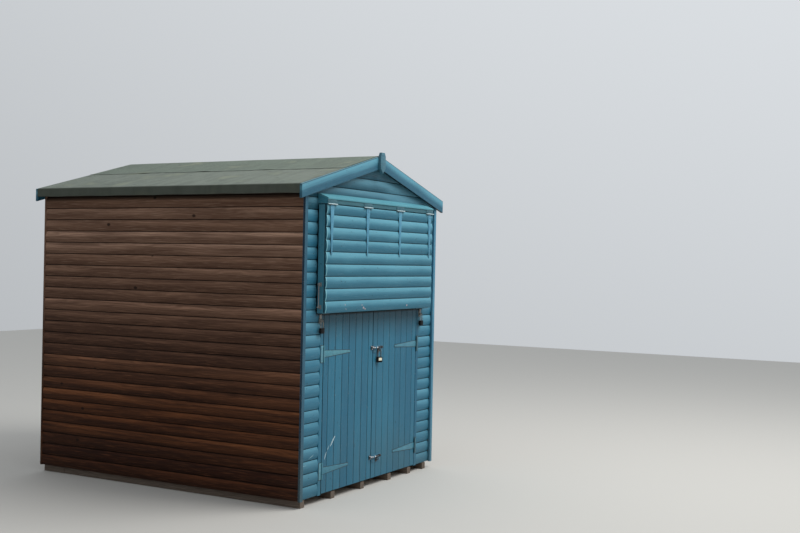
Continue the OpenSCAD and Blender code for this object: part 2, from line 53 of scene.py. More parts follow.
# Bearers: six sawn softwood lengths that run from front to back under the floor. They
# are bare, and have weathered to a pinkish grey.
class Part(namedtuple("Part", "points quads caps kinds grain edge")):
    """A closed surface: its points, quads, end caps and the kind of finish on each quad. Each point
    has its place on its own board, and an edge value from -1, dirty and darkened as painted shade,
    to 1, worn."""

    def moved(self, origin, axes=np.eye(3)):
        """The part with its own x, y and z along axes, and its origin at origin."""
        return self._replace(points=self.points @ np.asarray(axes, float) + origin)

    def of_kind(self, number):
        """The part with its kinds raised by a number."""
        return self._replace(kinds=self.kinds + number)


def skin(points, grain=None, edge=0.0, kinds=0, closed=False, strip=False):
    """A closed surface over rings of points, an array (rings, points in a ring, 3).

    A quad joins two neighbours on one ring to the same two on the next. The first and the
    last ring are capped by a flat face, or by a row of quads where the ring is a thin strip.
    A closed skin joins its last ring to its first instead.
    """
    rings, around = points.shape[:2]
    index = np.arange(rings * around).reshape(rings, around)
    here = index if closed else index[:-1]
    ahead = np.roll(index, -1, axis=0) if closed else index[1:]
    quads = np.stack([here, np.roll(here, -1, 1), np.roll(ahead, -1, 1), ahead], -1)
    caps = []
    for ring in [] if closed else [index[0][::-1], index[-1]]:
        near, far = ring[: around // 2], ring[around // 2 :][::-1]
        caps += [*np.stack([near[:-1], near[1:], far[1:], far[:-1]], -1)] if strip else [ring]
    grain = np.broadcast_to(points if grain is None else grain, points.shape).reshape(-1, 3)
    kinds = np.broadcast_to(kinds, here.shape).ravel()
    edge = np.broadcast_to(edge, (rings, around)).ravel()
    return Part(points.reshape(-1, 3), quads.reshape(-1, 4), caps, kinds, grain, edge)


def unit(vectors):
    """Each vector divided by its own length."""
    return vectors / np.linalg.norm(vectors, axis=-1, keepdims=True)


def eased(outline, ease=0.0015):
    """The closed section (w, t, edge) of an outline with its corners rounded off.

    A corner becomes the middle of a quadratic Bezier curve between two points at distance
    ease, with one more point on each flat beside it. edge is 1 on corners and 0 on flats.
    """
    corner = np.asarray(outline, float)
    points = []
    for step, distances in ((1, (4 * ease, ease)), (-1, (ease, 4 * ease))):
        side = np.roll(corner, step, axis=0) - corner
        length = np.linalg.norm(side, axis=1, keepdims=True)
        for distance in distances:
            limit = 0.4 if distance > ease else 0.2
            points.append(corner + side / length * np.minimum(distance, limit * length))
    middle = (points[1] + 2 * corner + points[2]) / 4
    loop = np.stack([points[0], points[1], middle, points[2], points[3]], 1).reshape(-1, 2)
    return np.column_stack([loop, np.tile([0, 0.7, 1, 0.7, 0], len(corner))])


def block(width, thickness):
    """Corners (w, t) of a rectangle that is centred on w = 0, with its back on t = 0."""
    return [(-width / 2, 0), (width / 2, 0), (width / 2, thickness), (-width / 2, thickness)]


def carried(
    section, start, end, across, out, cut=(None, None), ends=None, stations=5, bow=0.0, **of_skin
):
    """A length with a closed section (w, t, edge), carried from start to end.

    A point is start + l * along + w * across + t * out, and the length bows towards out by
    bow * sin(pi * s). An end is square, or sawn in the plane whose normal is in cut, or
    reaches the l that is given in ends for each point of the section.
    """
    start, end, across, out = (np.asarray(v, float) for v in (start, end, across, out))
    length = np.linalg.norm(end - start)
    along = (end - start) / length
    w, t, edge = np.asarray(section, float).T
    flat = w[:, None] * across + t[:, None] * out
    if ends is None:
        ends = [
            reach if normal is None else reach - flat @ normal / (along @ normal)
            for reach, normal in zip((0.0, length), cut)
        ]
    s = np.linspace(0, 1, stations)[:, None]
    l = ends[0] + s * (ends[1] - ends[0]) + 0 * w
    curve = bow * np.sin(np.pi * s)[..., None] * out
    points = start + l[..., None] * along + flat + curve
    return skin(points, np.stack([l, w + 0 * l, t + 0 * l], -1), edge, **of_skin)


def stick(low, high, axis, cut=(None, None)):
    """A sawn length between two corners of a box, carried along one axis."""
    low, high, axes = np.asarray(low, float), np.asarray(high, float), np.eye(3)
    a, b = [i for i in range(3) if i != axis]
    start = low.copy()
    start[a] = (low[a] + high[a]) / 2
    end = start.copy()
    end[axis] = high[axis]
    section = eased(block(high[a] - low[a], high[b] - low[b]))
    return carried(section, start, end, axes[a], axes[b], cut)


def put(name, data):
    """A new object at the origin, in the scene."""
    thing = bpy.data.objects.new(name, data)
    bpy.context.scene.collection.objects.link(thing)
    return thing


def joined(name, parts, materials, body, slot, *nodes):
    """One object of many closed parts, which rides on a body and may stand for CAD nodes.

    A part whose signed volume, the sum of a . (b x c) / 6 over its faces, is below zero has
    its faces turned round. Its caps are of its lowest kind. Each part gets one random tone.
    """
    faces, kinds, first = [], [], 0
    for part in parts:
        a, b, c, d = np.moveaxis(part.points[part.quads], 1, 0)
        volume = np.sum(a * (np.cross(b, c) + np.cross(c, d)))
        for cap in part.caps:
            fan = part.points[cap]
            volume += np.sum(fan[0] * np.cross(fan[1:-1], fan[2:]))
        step = 1 if volume > 0 else -1
        faces += (part.quads[:, ::step] + first).tolist()
        faces += [(cap[::step] + first).tolist() for cap in part.caps]
        kinds += [*part.kinds, *[part.kinds.min()] * len(part.caps)]
        first += len(part.points)
    mesh = bpy.data.meshes.new(name)
    mesh.from_pydata(np.concatenate([p.points for p in parts]).tolist(), [], faces)
    mesh.polygons.foreach_set("material_index", np.array(kinds, np.int32))
    mesh.shade_smooth()
    mesh.set_sharp_from_angle(angle=np.radians(35))
    tones = np.repeat(rng.random(len(parts)), [len(p.points) for p in parts])
    grain = np.concatenate([p.grain for p in parts])
    edge = np.concatenate([p.edge for p in parts])
    mesh.attributes.new("grain", "FLOAT_VECTOR", "POINT").data.foreach_set("vector", grain.ravel())
    mesh.attributes.new("tone", "FLOAT", "POINT").data.foreach_set("value", tones)
    mesh.attributes.new("edge", "FLOAT", "POINT").data.foreach_set("value", edge)
    for material in materials:
        mesh.materials.append(material)
    piece = put(name, mesh)
    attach(piece, body)
    if nodes:
        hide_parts(*nodes)


def tint(text):
    """Linear red, green, blue and alpha of a colour written as six hexadecimal digits."""
    share = np.array([int(text[i : i + 2], 16) for i in (0, 2, 4)]) / 255
    return (*np.where(share < 0.04045, share / 12.92, ((share + 0.055) / 1.055) ** 2.4), 1.0)


class Finish:
    """A node material. Its colour is laid on in coats, each over the last by its own share."""

    def __init__(self, name, **sockets):
        self.material = bpy.data.materials.new(name)
        self.material.use_nodes = True
        self.tree = self.material.node_tree
        self.shader = self.tree.nodes["Principled BSDF"]
        for socket, value in sockets.items():
            self.shader.inputs[socket.replace("_", " ")].default_value = value

    def add(self, kind, inputs, **settings):
        """The outputs of a new node. Each input is a value, or follows another output."""
        node = self.tree.nodes.new("ShaderNode" + kind)
        for key, value in settings.items():
            setattr(node, key, value)
        for key, value in inputs.items():
            if isinstance(value, bpy.types.NodeSocket):
                self.tree.links.new(value, node.inputs[key])
            else:
                node.inputs[key].default_value = value
        return node.outputs

    def where(self):
        """The point in the hut's own frame, in metres."""
        return self.add("TexCoord", {})["Object"]

    def on_board(self):
        """The point (l, w, t) on its own board."""
        return self.add("Attribute", {}, attribute_name="grain")["Vector"]

    def mark(self, name):
        """The tone or the edge value that the mesh holds."""
        return self.add("Attribute", {}, attribute_name=name)["Fac"]

    def axis(self, name, place):
        """The X, Y or Z of a place."""
        return self.add("SeparateXYZ", {0: place})[name]

    def vector(self, way, *inputs):
        """Vectors multiplied axis by axis, and added where way says so."""
        return self.add("VectorMath", dict(enumerate(inputs)), operation=way)["Vector"]

    def board_place(self):
        """The point on its own board, moved by the board's tone; and that tone."""
        tone = self.mark("tone")
        return self.vector("MULTIPLY_ADD", tone, (37, 19, 23), self.on_board()), tone

    def noise(self, place, stretch, detail=3.0):
        """Noise that repeats about stretch times a metre along each axis of a place."""
        at = self.vector("MULTIPLY", place, stretch)
        return self.add("TexNoise", {"Vector": at, "Scale": 1.0, "Detail": detail})[0]

    def step(self, value, low, high, to_low=0.0, to_high=1.0):
        """A smooth step from to_low, where value is low, to to_high, where it is high."""
        inputs = {0: value, 1: low, 2: high, 3: to_low, 4: to_high}
        return self.add("MapRange", inputs, interpolation_type="SMOOTHSTEP")[0]

    def worked(self, way, *values):
        """One or two values worked out in a way, such as SUBTRACT or ABSOLUTE."""
        return self.add("Math", dict(enumerate(values)), operation=way)[0]

    def total(self, first, second):
        """The first value plus the second."""
        return self.worked("ADD", first, second)

    def product(self, first, second):
        """The first value times the second."""
        return self.worked("MULTIPLY", first, second)

    def mixed(self, share, *colours):
        """The first colour turned into the second by share."""
        pair = [tint(colour) if isinstance(colour, str) else colour for colour in colours]
        return self.add("Mix", {0: share, 6: pair[0], 7: pair[1]}, data_type="RGBA")[2]

    def coat(self, share, colour, strength=None):
        """Lays a colour over the last coat, by share or by share times strength."""
        share = share if strength is None else self.product(share, strength)
        self.colour = self.mixed(share, self.colour, colour)

    def coat_from(self, value, low, high, share, colour):
        """Lays a colour over the last coat: none where value is low, and share where high."""
        self.coat(self.step(value, low, high, 0.0, share), colour)

    def rings(self, place, drift, sway, scale, distortion, detail):
        """Growth rings round a board's length, swayed by noise that repeats drift times."""
        at = self.vector("MULTIPLY_ADD", self.noise(place, drift, 2.0), (0, sway, 0.03), place)
        wave = {"Vector": at, "Scale": scale, "Distortion": distortion, "Detail": detail}
        return self.add("TexWave", wave, wave_type="RINGS", rings_direction="X")["Fac"]

    def knots(self, place, often):
        """1 in the middle of a knot: a Voronoi cell's centre, in a share often of the cells."""
        at = self.vector("MULTIPLY", place, (5.0, 7.5, 3.0))
        cell = self.add("TexVoronoi", {"Vector": at, "Scale": 1.0})
        chosen = self.add("SeparateColor", {0: cell["Color"]})["Red"]
        inside = self.step(cell["Distance"], 0.11, 0.06)
        return self.product(inside, self.step(chosen, 1 - often, 1 - often + 0.01))

    def done(self, roughness, height, depth):
        """The material, with its colour, a roughness and a bump depth metres high."""
        bump = self.add("Bump", {"Strength": 1.0, "Distance": depth, "Height": height})["Normal"]
        linked = {"Base Color": self.colour, "Roughness": roughness, "Normal": bump}
        for name, output in linked.items():
            self.tree.links.new(output, self.shader.inputs[name])
        return self.material


def bare_timber(name, pale, deep, soiled_and_shaded=None):
    """Sawn softwood: growth rings round the board's length, bent by slow noise, fibres drawn out
    forty times along it, and knots. In front of y = soiled_and_shaded it is near-black, as soil
    from rain and painted shade."""
    wood = Finish(name)
    place, tone = wood.board_place()
    fibre = wood.noise(place, (9, 380, 380))
    ring = wood.rings(place, (2.5, 14, 14), 0.05, 46.0, 1.2, 1.0)
    wood.colour = wood.mixed(wood.product(ring, 0.45), pale, deep)
    wood.coat_from(fibre, 0.35, 0.75, 0.5, deep)
    wood.coat_from(tone, 0.0, 1.0, 0.35, deep)
    wood.coat(wood.knots(place, 0.3), "2e1d12", 0.75)
    # Near-black along the front edge: soil from rain, and painted shade under the doors.
    if soiled_and_shaded is not None:
        depth = wood.axis("Y", wood.where())
        wood.coat_from(depth, soiled_and_shaded + 0.012, soiled_and_shaded - 0.003, 0.93, "15110e")
    return wood.done(wood.step(fibre, 0.3, 0.7, 0.7, 0.9), wood.total(fibre, ring), 0.0004)


def corners(node):
    """The lowest and the highest corner of a node's box."""
    return [np.array(corner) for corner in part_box(node)]


bearer_wood = bare_timber("bearer_wood", "77695d", "40362d")
low, high = corners("bearers")
floor_low, floor_high = corners("floor")
front_y, back_y = low[1], high[1]
bearer_w = 0.050
places = np.array([0.006, 0.215, 0.436, 0.657, 0.828, 0.965])
lefts = floor_low[0] + places * (floor_high[0] - floor_low[0] - bearer_w)
bearers = [stick((left, *low[1:]), (left + bearer_w, *high[1:]), 1) for left in lefts]
joined("bearer_timbers", bearers, [bearer_wood], "hut", "bearer_wood", "bearers")


# Floor: twenty tongued and grooved softwood boards across the bearers. The front edge is
# near-black, as soil from rain and painted shade.
def matched_section(cover, thickness, vees, groove, tongue):
    """Closed section (w, t, edge) of a tongued and grooved board with its face at t = thickness.

    Its face is chamfered on both sides, by the two values in vees. A cut side has no groove, or no
    tongue. Its sides and the foot of each chamfer are darkened, as dirt and painted shade in the
    gap between two boards.
    """
    gap, lip = 0.0003, 0.006
    t1, t2, right = 0.36 * thickness, 0.62 * thickness, cover - gap
    # The sides are at -1: darkened, as dirt and painted shade in the gap.
    loop = [(gap, 0, -1), (gap + 0.002, 0, 0), (right - 0.002, 0, 0), (right, 0, -1)]
    if tongue:
        loop += [(right, t1, -1), (cover + lip, t1, -1), (cover + lip, t2, -1), (right, t2, -1)]
    # The foot of each chamfer is at -1: the V is darkened, as dirt and painted shade.
    chamfer = ((0, 1, -1), (0.25, 0.75, -1), (0.8, 0.15, -0.25), (1.2, 0, 1), (3, 0, 0))
    loop += [(right - w * vees[1], thickness - t * vees[1], e) for w, t, e in chamfer]
    loop += [(gap + w * vees[0], thickness - t * vees[0], e) for w, t, e in chamfer[::-1]]
    if groove:
        deep = gap + lip + 0.001
        open_side = ((gap, t2 + gap), (deep, t2 + gap), (deep, t1 - gap), (gap, t1 - gap))
        loop += [(w, t, -1) for w, t in open_side]
    return np.array(loop)


inner_wood = bare_timber("inner_wood", "b3946c", "7d5d3c")
floor_wood = bare_timber("floor_wood", "a98a64", "755637", floor_low[1])
floor_count, floor_t = 20, floor_high[2] - floor_low[2]
floor_cover = (floor_high[1] - floor_low[1]) / floor_count
boards = []
for i in range(floor_count):
    section = matched_section(floor_cover, floor_t, (0.001, 0.001), i > 0, i < floor_count - 1)
    start = floor_low + i * floor_cover * Y
    boards.append(carried(section, start, (floor_high[0], *start[1:]), Y, Z))
joined("floor_boards", boards, [floor_wood], "hut", "floor_wood", "floor")


# Framing: sawn 50 by 38 mm softwood. Each wall is a nailed frame of plates and studs, the
# two gable frames carry rafters, and the ridge beam and the purlins run between them.
pitch = np.radians(15)
slope_x, slope_z, fall = np.cos(pitch), np.sin(pitch), np.tan(pitch)
ridge_z, deck_t, board_t = 2.462, 0.012, 0.020
stud_w, stud_d, rafter_h, beam_h, purlin_h = 0.038, 0.050, 0.060, 0.095, 0.063
back_x, floor_z = floor_high[0], floor_high[2]
room_x = back_x - stud_d
jamb_w, jamb_high = 0.038, corners("door_jambs")[1]
jamb_x, head_z = jamb_high[0] - jamb_w, jamb_high[2]


def under_roof(x):
    """Height of the underside of the roof boards: they fall from the ridge by the pitch."""
    return ridge_z - np.abs(x) * fall - deck_t / slope_x


def off_slope(s):
    """The unit vector that stands square on the left slope, s = -1, or on the right one."""
    return np.array((s * slope_z, 0, slope_x))


def rafters(y0, y1):
    """Two rafters of a gable frame, plumb-cut at the ridge and at the wall plates."""
    section = eased(block(rafter_h * slope_x, y1 - y0))
    top, foot = (0, y0, under_roof(0) - rafter_h / 2), under_roof(room_x) - rafter_h / 2
    return [
        carried(section, top, (s * room_x, y0, foot), off_slope(s), Y, (X, X))
        for s in (-1, 1)
    ]


def upright(x, y0):
    """A stud of a gable frame that stands on the floor and is cut off under a rafter."""
    middle = x + stud_w / 2
    top = under_roof(middle) - rafter_h
    cut = (None, off_slope(np.sign(middle)))
    return stick((x, y0, floor_z), (x + stud_w, y0 + stud_d, top), 2, cut)


def plate(x0, x1, y0, z):
    """A length of a gable frame from x0 to x1, whose lower front edge is at (y0, z)."""
    return stick((x0, y0, z), (x1, y0 + stud_d, z + stud_w), 0)


def under_slope(x0, x1, z, y0, y1):
    """A length along Y from the height z up to the underside of the roof boards."""
    top0, top1 = under_roof(x0) - z, under_roof(x1) - z
    section = eased([(0, 0), (x1 - x0, 0), (x1 - x0, top1), (0, top0)])
    return carried(section, (x0, y0, z), (x0, y1, z), X, Z)


side_parts = []
frame_y0, frame_y1 = front_y + board_t, back_y - board_t
plate_z = under_roof(back_x) - stud_w
for s in (-1, 1):
    x0, x1 = sorted((s * room_x, s * back_x))
    side_parts.append(stick((x0, frame_y0, floor_z), (x1, frame_y1, floor_z + stud_w), 1))
    side_parts.append(under_slope(x0, x1, plate_z, frame_y0, frame_y1))
    for y in np.linspace(frame_y0, frame_y1 - stud_w, 5):
        side_parts.append(stick((x0, y, floor_z + stud_w), (x1, y + stud_w, plate_z), 2))
joined("side_framing", side_parts, [inner_wood], "hut", "frame_wood", "side_frames")

front_parts = rafters(frame_y0, frame_y0 + stud_d)
front_parts.append(plate(-room_x, room_x, frame_y0, head_z))
foot_half = 0.1048
for s in (-1, 1):
    middle = s * (jamb_x + room_x) / 2
    front_parts.append(plate(middle - foot_half, middle + foot_half, frame_y0, floor_z))
for x in (-room_x, room_x - stud_w, -jamb_x - stud_w, jamb_x):
    front_parts.append(upright(x, frame_y0))
joined("front_framing", front_parts, [inner_wood], "hut", "frame_wood", "front_frame")

back_frame_y = frame_y1 - stud_d
back_parts = rafters(back_frame_y, frame_y1)
back_parts.append(plate(-room_x, room_x, back_frame_y, floor_z))
back_parts += [upright(x, back_frame_y) for x in np.linspace(-room_x, room_x - stud_w, 5)]
joined("back_framing", back_parts, [inner_wood], "hut", "frame_wood", "back_frame")

half_w, beam_low = stud_w / 2, under_roof(stud_w / 2) - beam_h
beam_y0, beam_y1 = frame_y0 + stud_d, back_frame_y
beams = [stick((-half_w, beam_y0, beam_low), (half_w, beam_y1, beam_low + beam_h), 1)]
for s in (-1, 1):
    x, z = s * room_x / 2, under_roof(room_x / 2) - purlin_h
    beams.append(under_slope(x - half_w, x + half_w, z, beam_y0, beam_y1))
joined("ridge_beam_and_purlins", beams, [inner_wood], "hut", "frame_wood", "roof_beams")


# Side and back walls: loglap boards stained dark brown, each rebated over the one below
# and nailed to the studs. Their backs are bare.
cover, side_cover, valley = 0.086, 0.0866, 0.008
nail_up, nail_in, hair = 0.028, 0.0012, 0.0002
SIDES = (("left", -1), ("right", 1))


def behind_crown(w, height):
    """How far a board's face lies behind its crown at the height w: the face is an arc of a
    circle through the crown and both valleys."""
    radius = (height**2 / 4 + valley**2) / (2 * valley)
    return radius - np.sqrt(radius**2 - (w - height / 2) ** 2)


def log_section(height, top=np.inf):
    """Closed section (w, t, edge) of a loglap board: w goes up, and t goes out from its back.

    Above a square lip, which laps the tongue of the board below, the face follows its arc.
    The board ends in a tongue of its own, and may be sawn off at w = top.
    """
    w = np.linspace(0.003, height - 0.0048, 12)
    t = board_t - behind_crown(w, height)
    lip = [(0.0065, 0, -1), (0.0065, 0.0062, -1), (0.0012, 0.0062, -1)]
    lip += [(0.0008, 0.0072, -1), (0.0008, 0.0102, -0.2), (0.0014, 0.0116, 1)]
    tongue = [(-0.0036, 0.0118, 0.5), (-0.0032, 0.0106, -0.6), (-0.0032, 0.0062, -1)]
    tongue += [(0.005, 0.0058, -1), (0.005, 0, -1)]
    loop = np.array([*lip, *np.column_stack([w, t, 0 * w]), *(np.array(tongue) + height * X)])
    loop[:, 0] = np.minimum(loop[:, 0], top)
    return loop


def sides_between(chosen):
    """Kind 1 for each side of a section whose two points are both chosen, and 0 elsewhere."""
    return (chosen & np.roll(chosen, -1)).astype(int)


def log_board(section, start, end, out, ends=None):
    """A loglap board whose back is of kind 1, and which bows out by up to 0.6 mm."""
    kinds, bow = sides_between(section[:, 1] < 0.001), 0.0006 * rng.random()
    return carried(section, start, end, Z, out, ends=ends, stations=7, kinds=kinds, bow=bow)


def circle(sides, across, up):
    """Points cos(a) * across + sin(a) * up of a circle round the origin."""
    a = np.linspace(0, 2 * np.pi, sides, endpoint=False)[:, None]
    return np.cos(a) * across + np.sin(a) * up


def heads(radius, height, centres, out, sides=8):
    """Low round heads of nails or screws on a face: rings of radius r * cos(a) at height
    h * sin(a), copied to each centre."""
    a = np.radians([0, 0, 35, 65])
    out = np.asarray(out, float)
    across = unit(np.cross(out, Z if abs(out[2]) < 0.9 else X))
    ring = circle(sides, across, np.cross(out, across))
    lift = (height * np.sin(a) - np.array([0.0008, 0, 0, 0]))[:, None, None] * out
    one = skin(radius * np.cos(a)[:, None, None] * ring + lift, edge=0.0)
    first = (np.arange(len(centres)) * len(one.points))[:, None]
    points = (one.points + np.asarray(centres, float)[:, None]).reshape(-1, 3)
    quads = (one.quads + first[..., None]).reshape(-1, 4)
    caps = [cap + f for f in first for cap in one.caps]
    kinds = np.tile(one.kinds, len(centres))
    return Part(points, quads, caps, kinds, points, np.zeros(len(points)))


def brown_stain(name, course, eaves=9.0):
    """Dark brown stain on softwood: each board has taken it differently, and grain, streaks and
    knots show through. It is painted paler towards the top of the wall and on the upper half of
    each board, as painted light. It is darker in the joints, as dirt and painted shade, and under
    each board's lip and close under z = eaves, as painted shadow."""
    stain = Finish(name, Specular_IOR_Level=0.15)
    place, tone = stain.board_place()
    fibre = stain.noise(place, (7, 300, 300))
    streak = stain.noise(place, (1.3, 30, 30), 4.0)
    ring = stain.rings(place, (2.0, 11, 11), 0.06, 30.0, 1.4, 1.5)
    height, edge = stain.axis("Z", stain.where()), stain.mark("edge")
    climb = stain.axis("Y", stain.on_board())
    # Paler towards the top of the wall: painted light.
    taken, high_up = stain.step(tone, 0.0, 1.0), stain.step(height, 0.5, 2.1)
    deep = stain.mixed(high_up, "241008", "5a3f31")
    stain.colour = stain.mixed(taken, "3e1d0e", "84502f")
    stain.coat(high_up, stain.mixed(taken, "a58069", "d4ad95"))
    stain.coat_from(streak, 0.3, 0.7, 0.8, deep)
    stain.coat(ring, deep, 0.35)
    # The lower part of each board is darker: painted shade, as under light from above.
    stain.coat_from(climb, 0.9 * course, 0.1 * course, 0.72, deep)
    pale = stain.mixed(high_up, "8d5c40", "c4a48e")
    stain.coat_from(fibre, 0.5, 0.8, 0.5, pale)
    worn = stain.product(edge, stain.step(fibre, 0.45, 0.7))
    stain.coat(worn, "8a6e58", 0.4)
    stain.coat(stain.knots(place, 0.22), "160b06", 0.8)
    # Darker where edge is below 0: dirt and painted shade.
    stain.coat_from(edge, -0.1, -0.9, 0.9, "0c0705")
    # A painted shadow of the lip above on the top of each board.
    stain.coat_from(climb, course - 0.009, course - 0.004, 0.5, "0c0705")
    # A painted shadow close under the eaves.
    stain.coat_from(height, eaves - 0.045, eaves - 0.012, 0.85, "0d0907")
    rough = stain.step(fibre, 0.3, 0.7, 0.55, 0.8)
    return stain.done(rough, stain.total(fibre, streak), 0.0006)


side_stain = brown_stain("side_stain", side_cover, corners("left_felt")[0][2])
wall_x, base_z = back_x + board_t, floor_low[2]
stud_ys = np.linspace(frame_y0, frame_y1 - stud_w, 5) + stud_w / 2
for side, s in SIDES:
    parts = []
    for z in np.arange(base_z, under_roof(back_x), side_cover):
        section = log_section(side_cover)
        top = under_roof(back_x + section[:, 1]) - hair - z
        section[:, 0] = np.minimum(section[:, 0], top)
        parts.append(log_board(section, (s * back_x, front_y, z), (s * back_x, back_y, z), s * X))
        spots = [(s * (wall_x - nail_in), y, z + nail_up) for y in stud_ys]
        parts.append(heads(0.0022, 0.0008, spots, s * X, 6))
    node = f"{side}_wall"
    joined(node + "_logs", parts, [side_stain, inner_wood], "hut", "brown_stain", node)

stain = brown_stain("brown_stain", cover)
apex = under_roof(0) - hair


def gable_boards(base, y, out):
    """Loglap boards from z = base to the apex. The corner of each end stands at the wall's
    corner, or on the slope of the roof where that is nearer."""
    parts = []
    for z in np.arange(base, apex, cover):
        section = log_section(cover, apex - z - 0.0006)
        reach = np.minimum(back_x, (apex - z - section[:, 0]) / fall)
        parts.append(log_board(section, (0, y, z), (1, y, z), out, (-reach, reach)))
    return parts


back_boards = gable_boards(base_z, back_y - board_t, Y)
joined("back_wall_logs", back_boards, [stain, inner_wood], "hut", "brown_stain", "back_wall")


# Front cladding: the same loglap, painted satin blue, in two narrow panels beside the
# doors and across the gable above them.
def brushed_paint(
    name, colour, faded_and_lit, grime=0.0, course=None, low_shade=0.0, lintel=None, behind=None, arris=None,
    lit_to_right=0.0,
):
    """Satin paint brushed on softwood: streaks along each board, a slow fade, small chips that show
    pale wood, thin worn edges, and dirt towards the ground. Between the heights in course a board
    is painted paler upwards, as painted light, and towards the ground it is painted darker by
    low_shade, as painted shade. A painted shadow lies under z = lintel, and another behind a cover
    from the corner (x, z) in behind. The paint turns to the colour arris in a band close to a
    board's end at l = 0. It is painted paler by lit_to_right towards the right, as painted light,
    and darker where edge is below 0, as dirt and painted shade."""
    paint = Finish(name, Specular_IOR_Level=0.3)
    place, tone = paint.board_place()
    where, edge = paint.where(), paint.mark("edge")
    across, height = paint.axis("X", where), paint.axis("Z", where)
    along, climb = paint.axis("X", paint.on_board()), paint.axis("Y", paint.on_board())
    fibre = paint.noise(place, (11, 420, 420))
    brush = paint.noise(place, (3.0, 90, 90), 4.0)
    cloud = paint.noise(where, (2.4, 2.4, 1.7))
    speck = paint.noise(place, (110, 300, 300), 2.0)
    fading_and_light = paint.total(paint.total(cloud, brush), paint.product(tone, 0.6))
    # Painted light: each board paler upwards between the heights in course. Painted shade: darker
    # towards the ground.
    if course:
        fading_and_light = paint.total(fading_and_light, paint.step(climb, *course, -0.9, 0.8))
        fading_and_light = paint.total(fading_and_light, paint.step(height, 1.9, 0.6, 0.0, -low_shade))
    # Painted light: paler towards the right.
    if lit_to_right:
        fading_and_light = paint.total(fading_and_light, paint.step(across, 0.0, 0.45, 0.0, lit_to_right))
    paint.colour = paint.mixed(paint.step(fading_and_light, 0.4, 2.2), colour, faded_and_lit)
    paint.coat_from(fibre, 0.42, 0.25, 0.28, "22414f")
    paint.coat_from(fibre, 0.58, 0.75, 0.16, "9fc0c8")
    low_down = paint.step(height, 0.6, 0.05, 0.0, grime)
    paint.coat(paint.product(low_down, paint.step(cloud, 0.3, 0.7)), "465652")
    # A painted shadow under z = lintel, darkest in a line close under it.
    if lintel:
        paint.coat_from(height, lintel - 0.25, lintel - 0.01, 0.6, "26383c")
        lined = paint.step(height, lintel - 0.014, lintel - 0.005, 0.0, 0.85)
        above = paint.step(height, lintel + 0.01, lintel + 0.02)
        paint.coat(paint.worked("SUBTRACT", lined, above), "0d1416")
    # A painted shadow behind a cover, such as the hatch.
    if behind:
        x, z = behind
        from_middle = paint.worked("ABSOLUTE", across)
        covered = paint.step(from_middle, x + 0.006, x - 0.006, 0.0, 0.93)
        paint.coat(paint.product(covered, paint.step(height, z - 0.03, z)), "070c0e")
    if arris:
        to_end = paint.step(along, 0.0, 0.002, 0.0, 0.65)
        paint.coat(paint.product(to_end, paint.step(along, 0.012, 0.008)), arris)
    # Darker where edge is below 0: dirt and painted shade.
    paint.coat_from(edge, -0.1, -0.9, 0.92, "10191d")
    chip = paint.step(paint.total(speck, paint.product(edge, 0.1)), 0.715, 0.745)
    paint.coat(chip, "93989a", 0.7)
    pit = paint.step(paint.noise(place, (34, 90, 90), 1.0), 0.73, 0.77)
    paint.coat(pit, "16323d", 0.7)
    rough = paint.step(paint.total(brush, chip), 0.3, 0.9, 0.45, 0.7)
    relief = paint.worked("SUBTRACT", paint.total(fibre, brush), chip)
    return paint.done(rough, relief, 0.0005)


hatch_low, hatch_high = corners("hatch_frame")
# Each board painted paler upwards, as painted light; darker towards the ground, as painted shade;
# and a painted shadow beside the hatch.
wall_paint = brushed_paint(
    "wall_paint", "2c6c85", "5893a8", 0.3, (-0.15 * cover, 1.2 * cover), 0.5,
    behind=(hatch_high[0], hatch_low[2]),
)
panel_rows, face_nail = round((head_z - base_z) / cover), (0.0025, 0.0007)
for side, s in SIDES:
    x0, x1 = sorted((s * back_x, s * (jamb_x + jamb_w)))
    parts = []
    for z in base_z + cover * np.arange(panel_rows):
        y = front_y + board_t
        parts.append(log_board(log_section(cover), (x0, y, z), (x1, y, z), -Y))
        spots = [(x, front_y + nail_in, z + nail_up) for x in (x0 + 0.045, x1 - 0.02)]
        parts.append(heads(*face_nail, spots, -Y, 6))
    node = f"front_{side}_panel"
    joined(node + "_logs", parts, [wall_paint, inner_wood], "hut", "blue_paint", node)

# Each board painted paler upwards, and the gable paler towards the right, both as painted light.
gable_paint = brushed_paint(
    "gable_paint", "1f5061", "4b7e90", course=(0.1 * cover, cover), lit_to_right=1.5
)
parts = gable_boards(head_z, front_y + board_t, -Y)
joined("front_gable_logs", parts, [gable_paint, inner_wood], "hut", "blue_paint", "front_gable")


# Corner strips and door jambs: planed softwood nailed over the ends of the cladding. The
# front ones are blue, the back ones brown.
trim_paint = brushed_paint("trim_paint", "224d63", "3c6c80", 0.5)
# A darker blue for the strips' outer sides, as painted shade, and a paler one for the right strip's
# face, as painted light.
shaded_trim = brushed_paint("shaded_trim", "142a3c", "24435a", 0.5)
lit_trim = brushed_paint("lit_trim", "2d6682", "5893ac", 0.5)
strip_w, strip_t = 0.034, 0.018


def corner_strips(y):
    """Two strips cut off under the roof boards, their faces from y to y + strip_t. Their outer
    sides are kind 1: on the front strips a darker blue, as painted shade."""
    parts = []
    for s in (-1, 1):
        x = s * (wall_x - strip_w / 2)
        start, end, cut = (x, y, base_z), (x, y, under_roof(x) - hair), (None, off_slope(s))
        section = eased(block(strip_w, strip_t), 0.002)
        kinds = sides_between(s * section[:, 0] > strip_w / 2 - 0.0001)
        parts.append(carried(section, start, end, X, Y, cut, stations=9, kinds=kinds))
    return parts


left_strip, right_strip = corner_strips(front_y - strip_t)
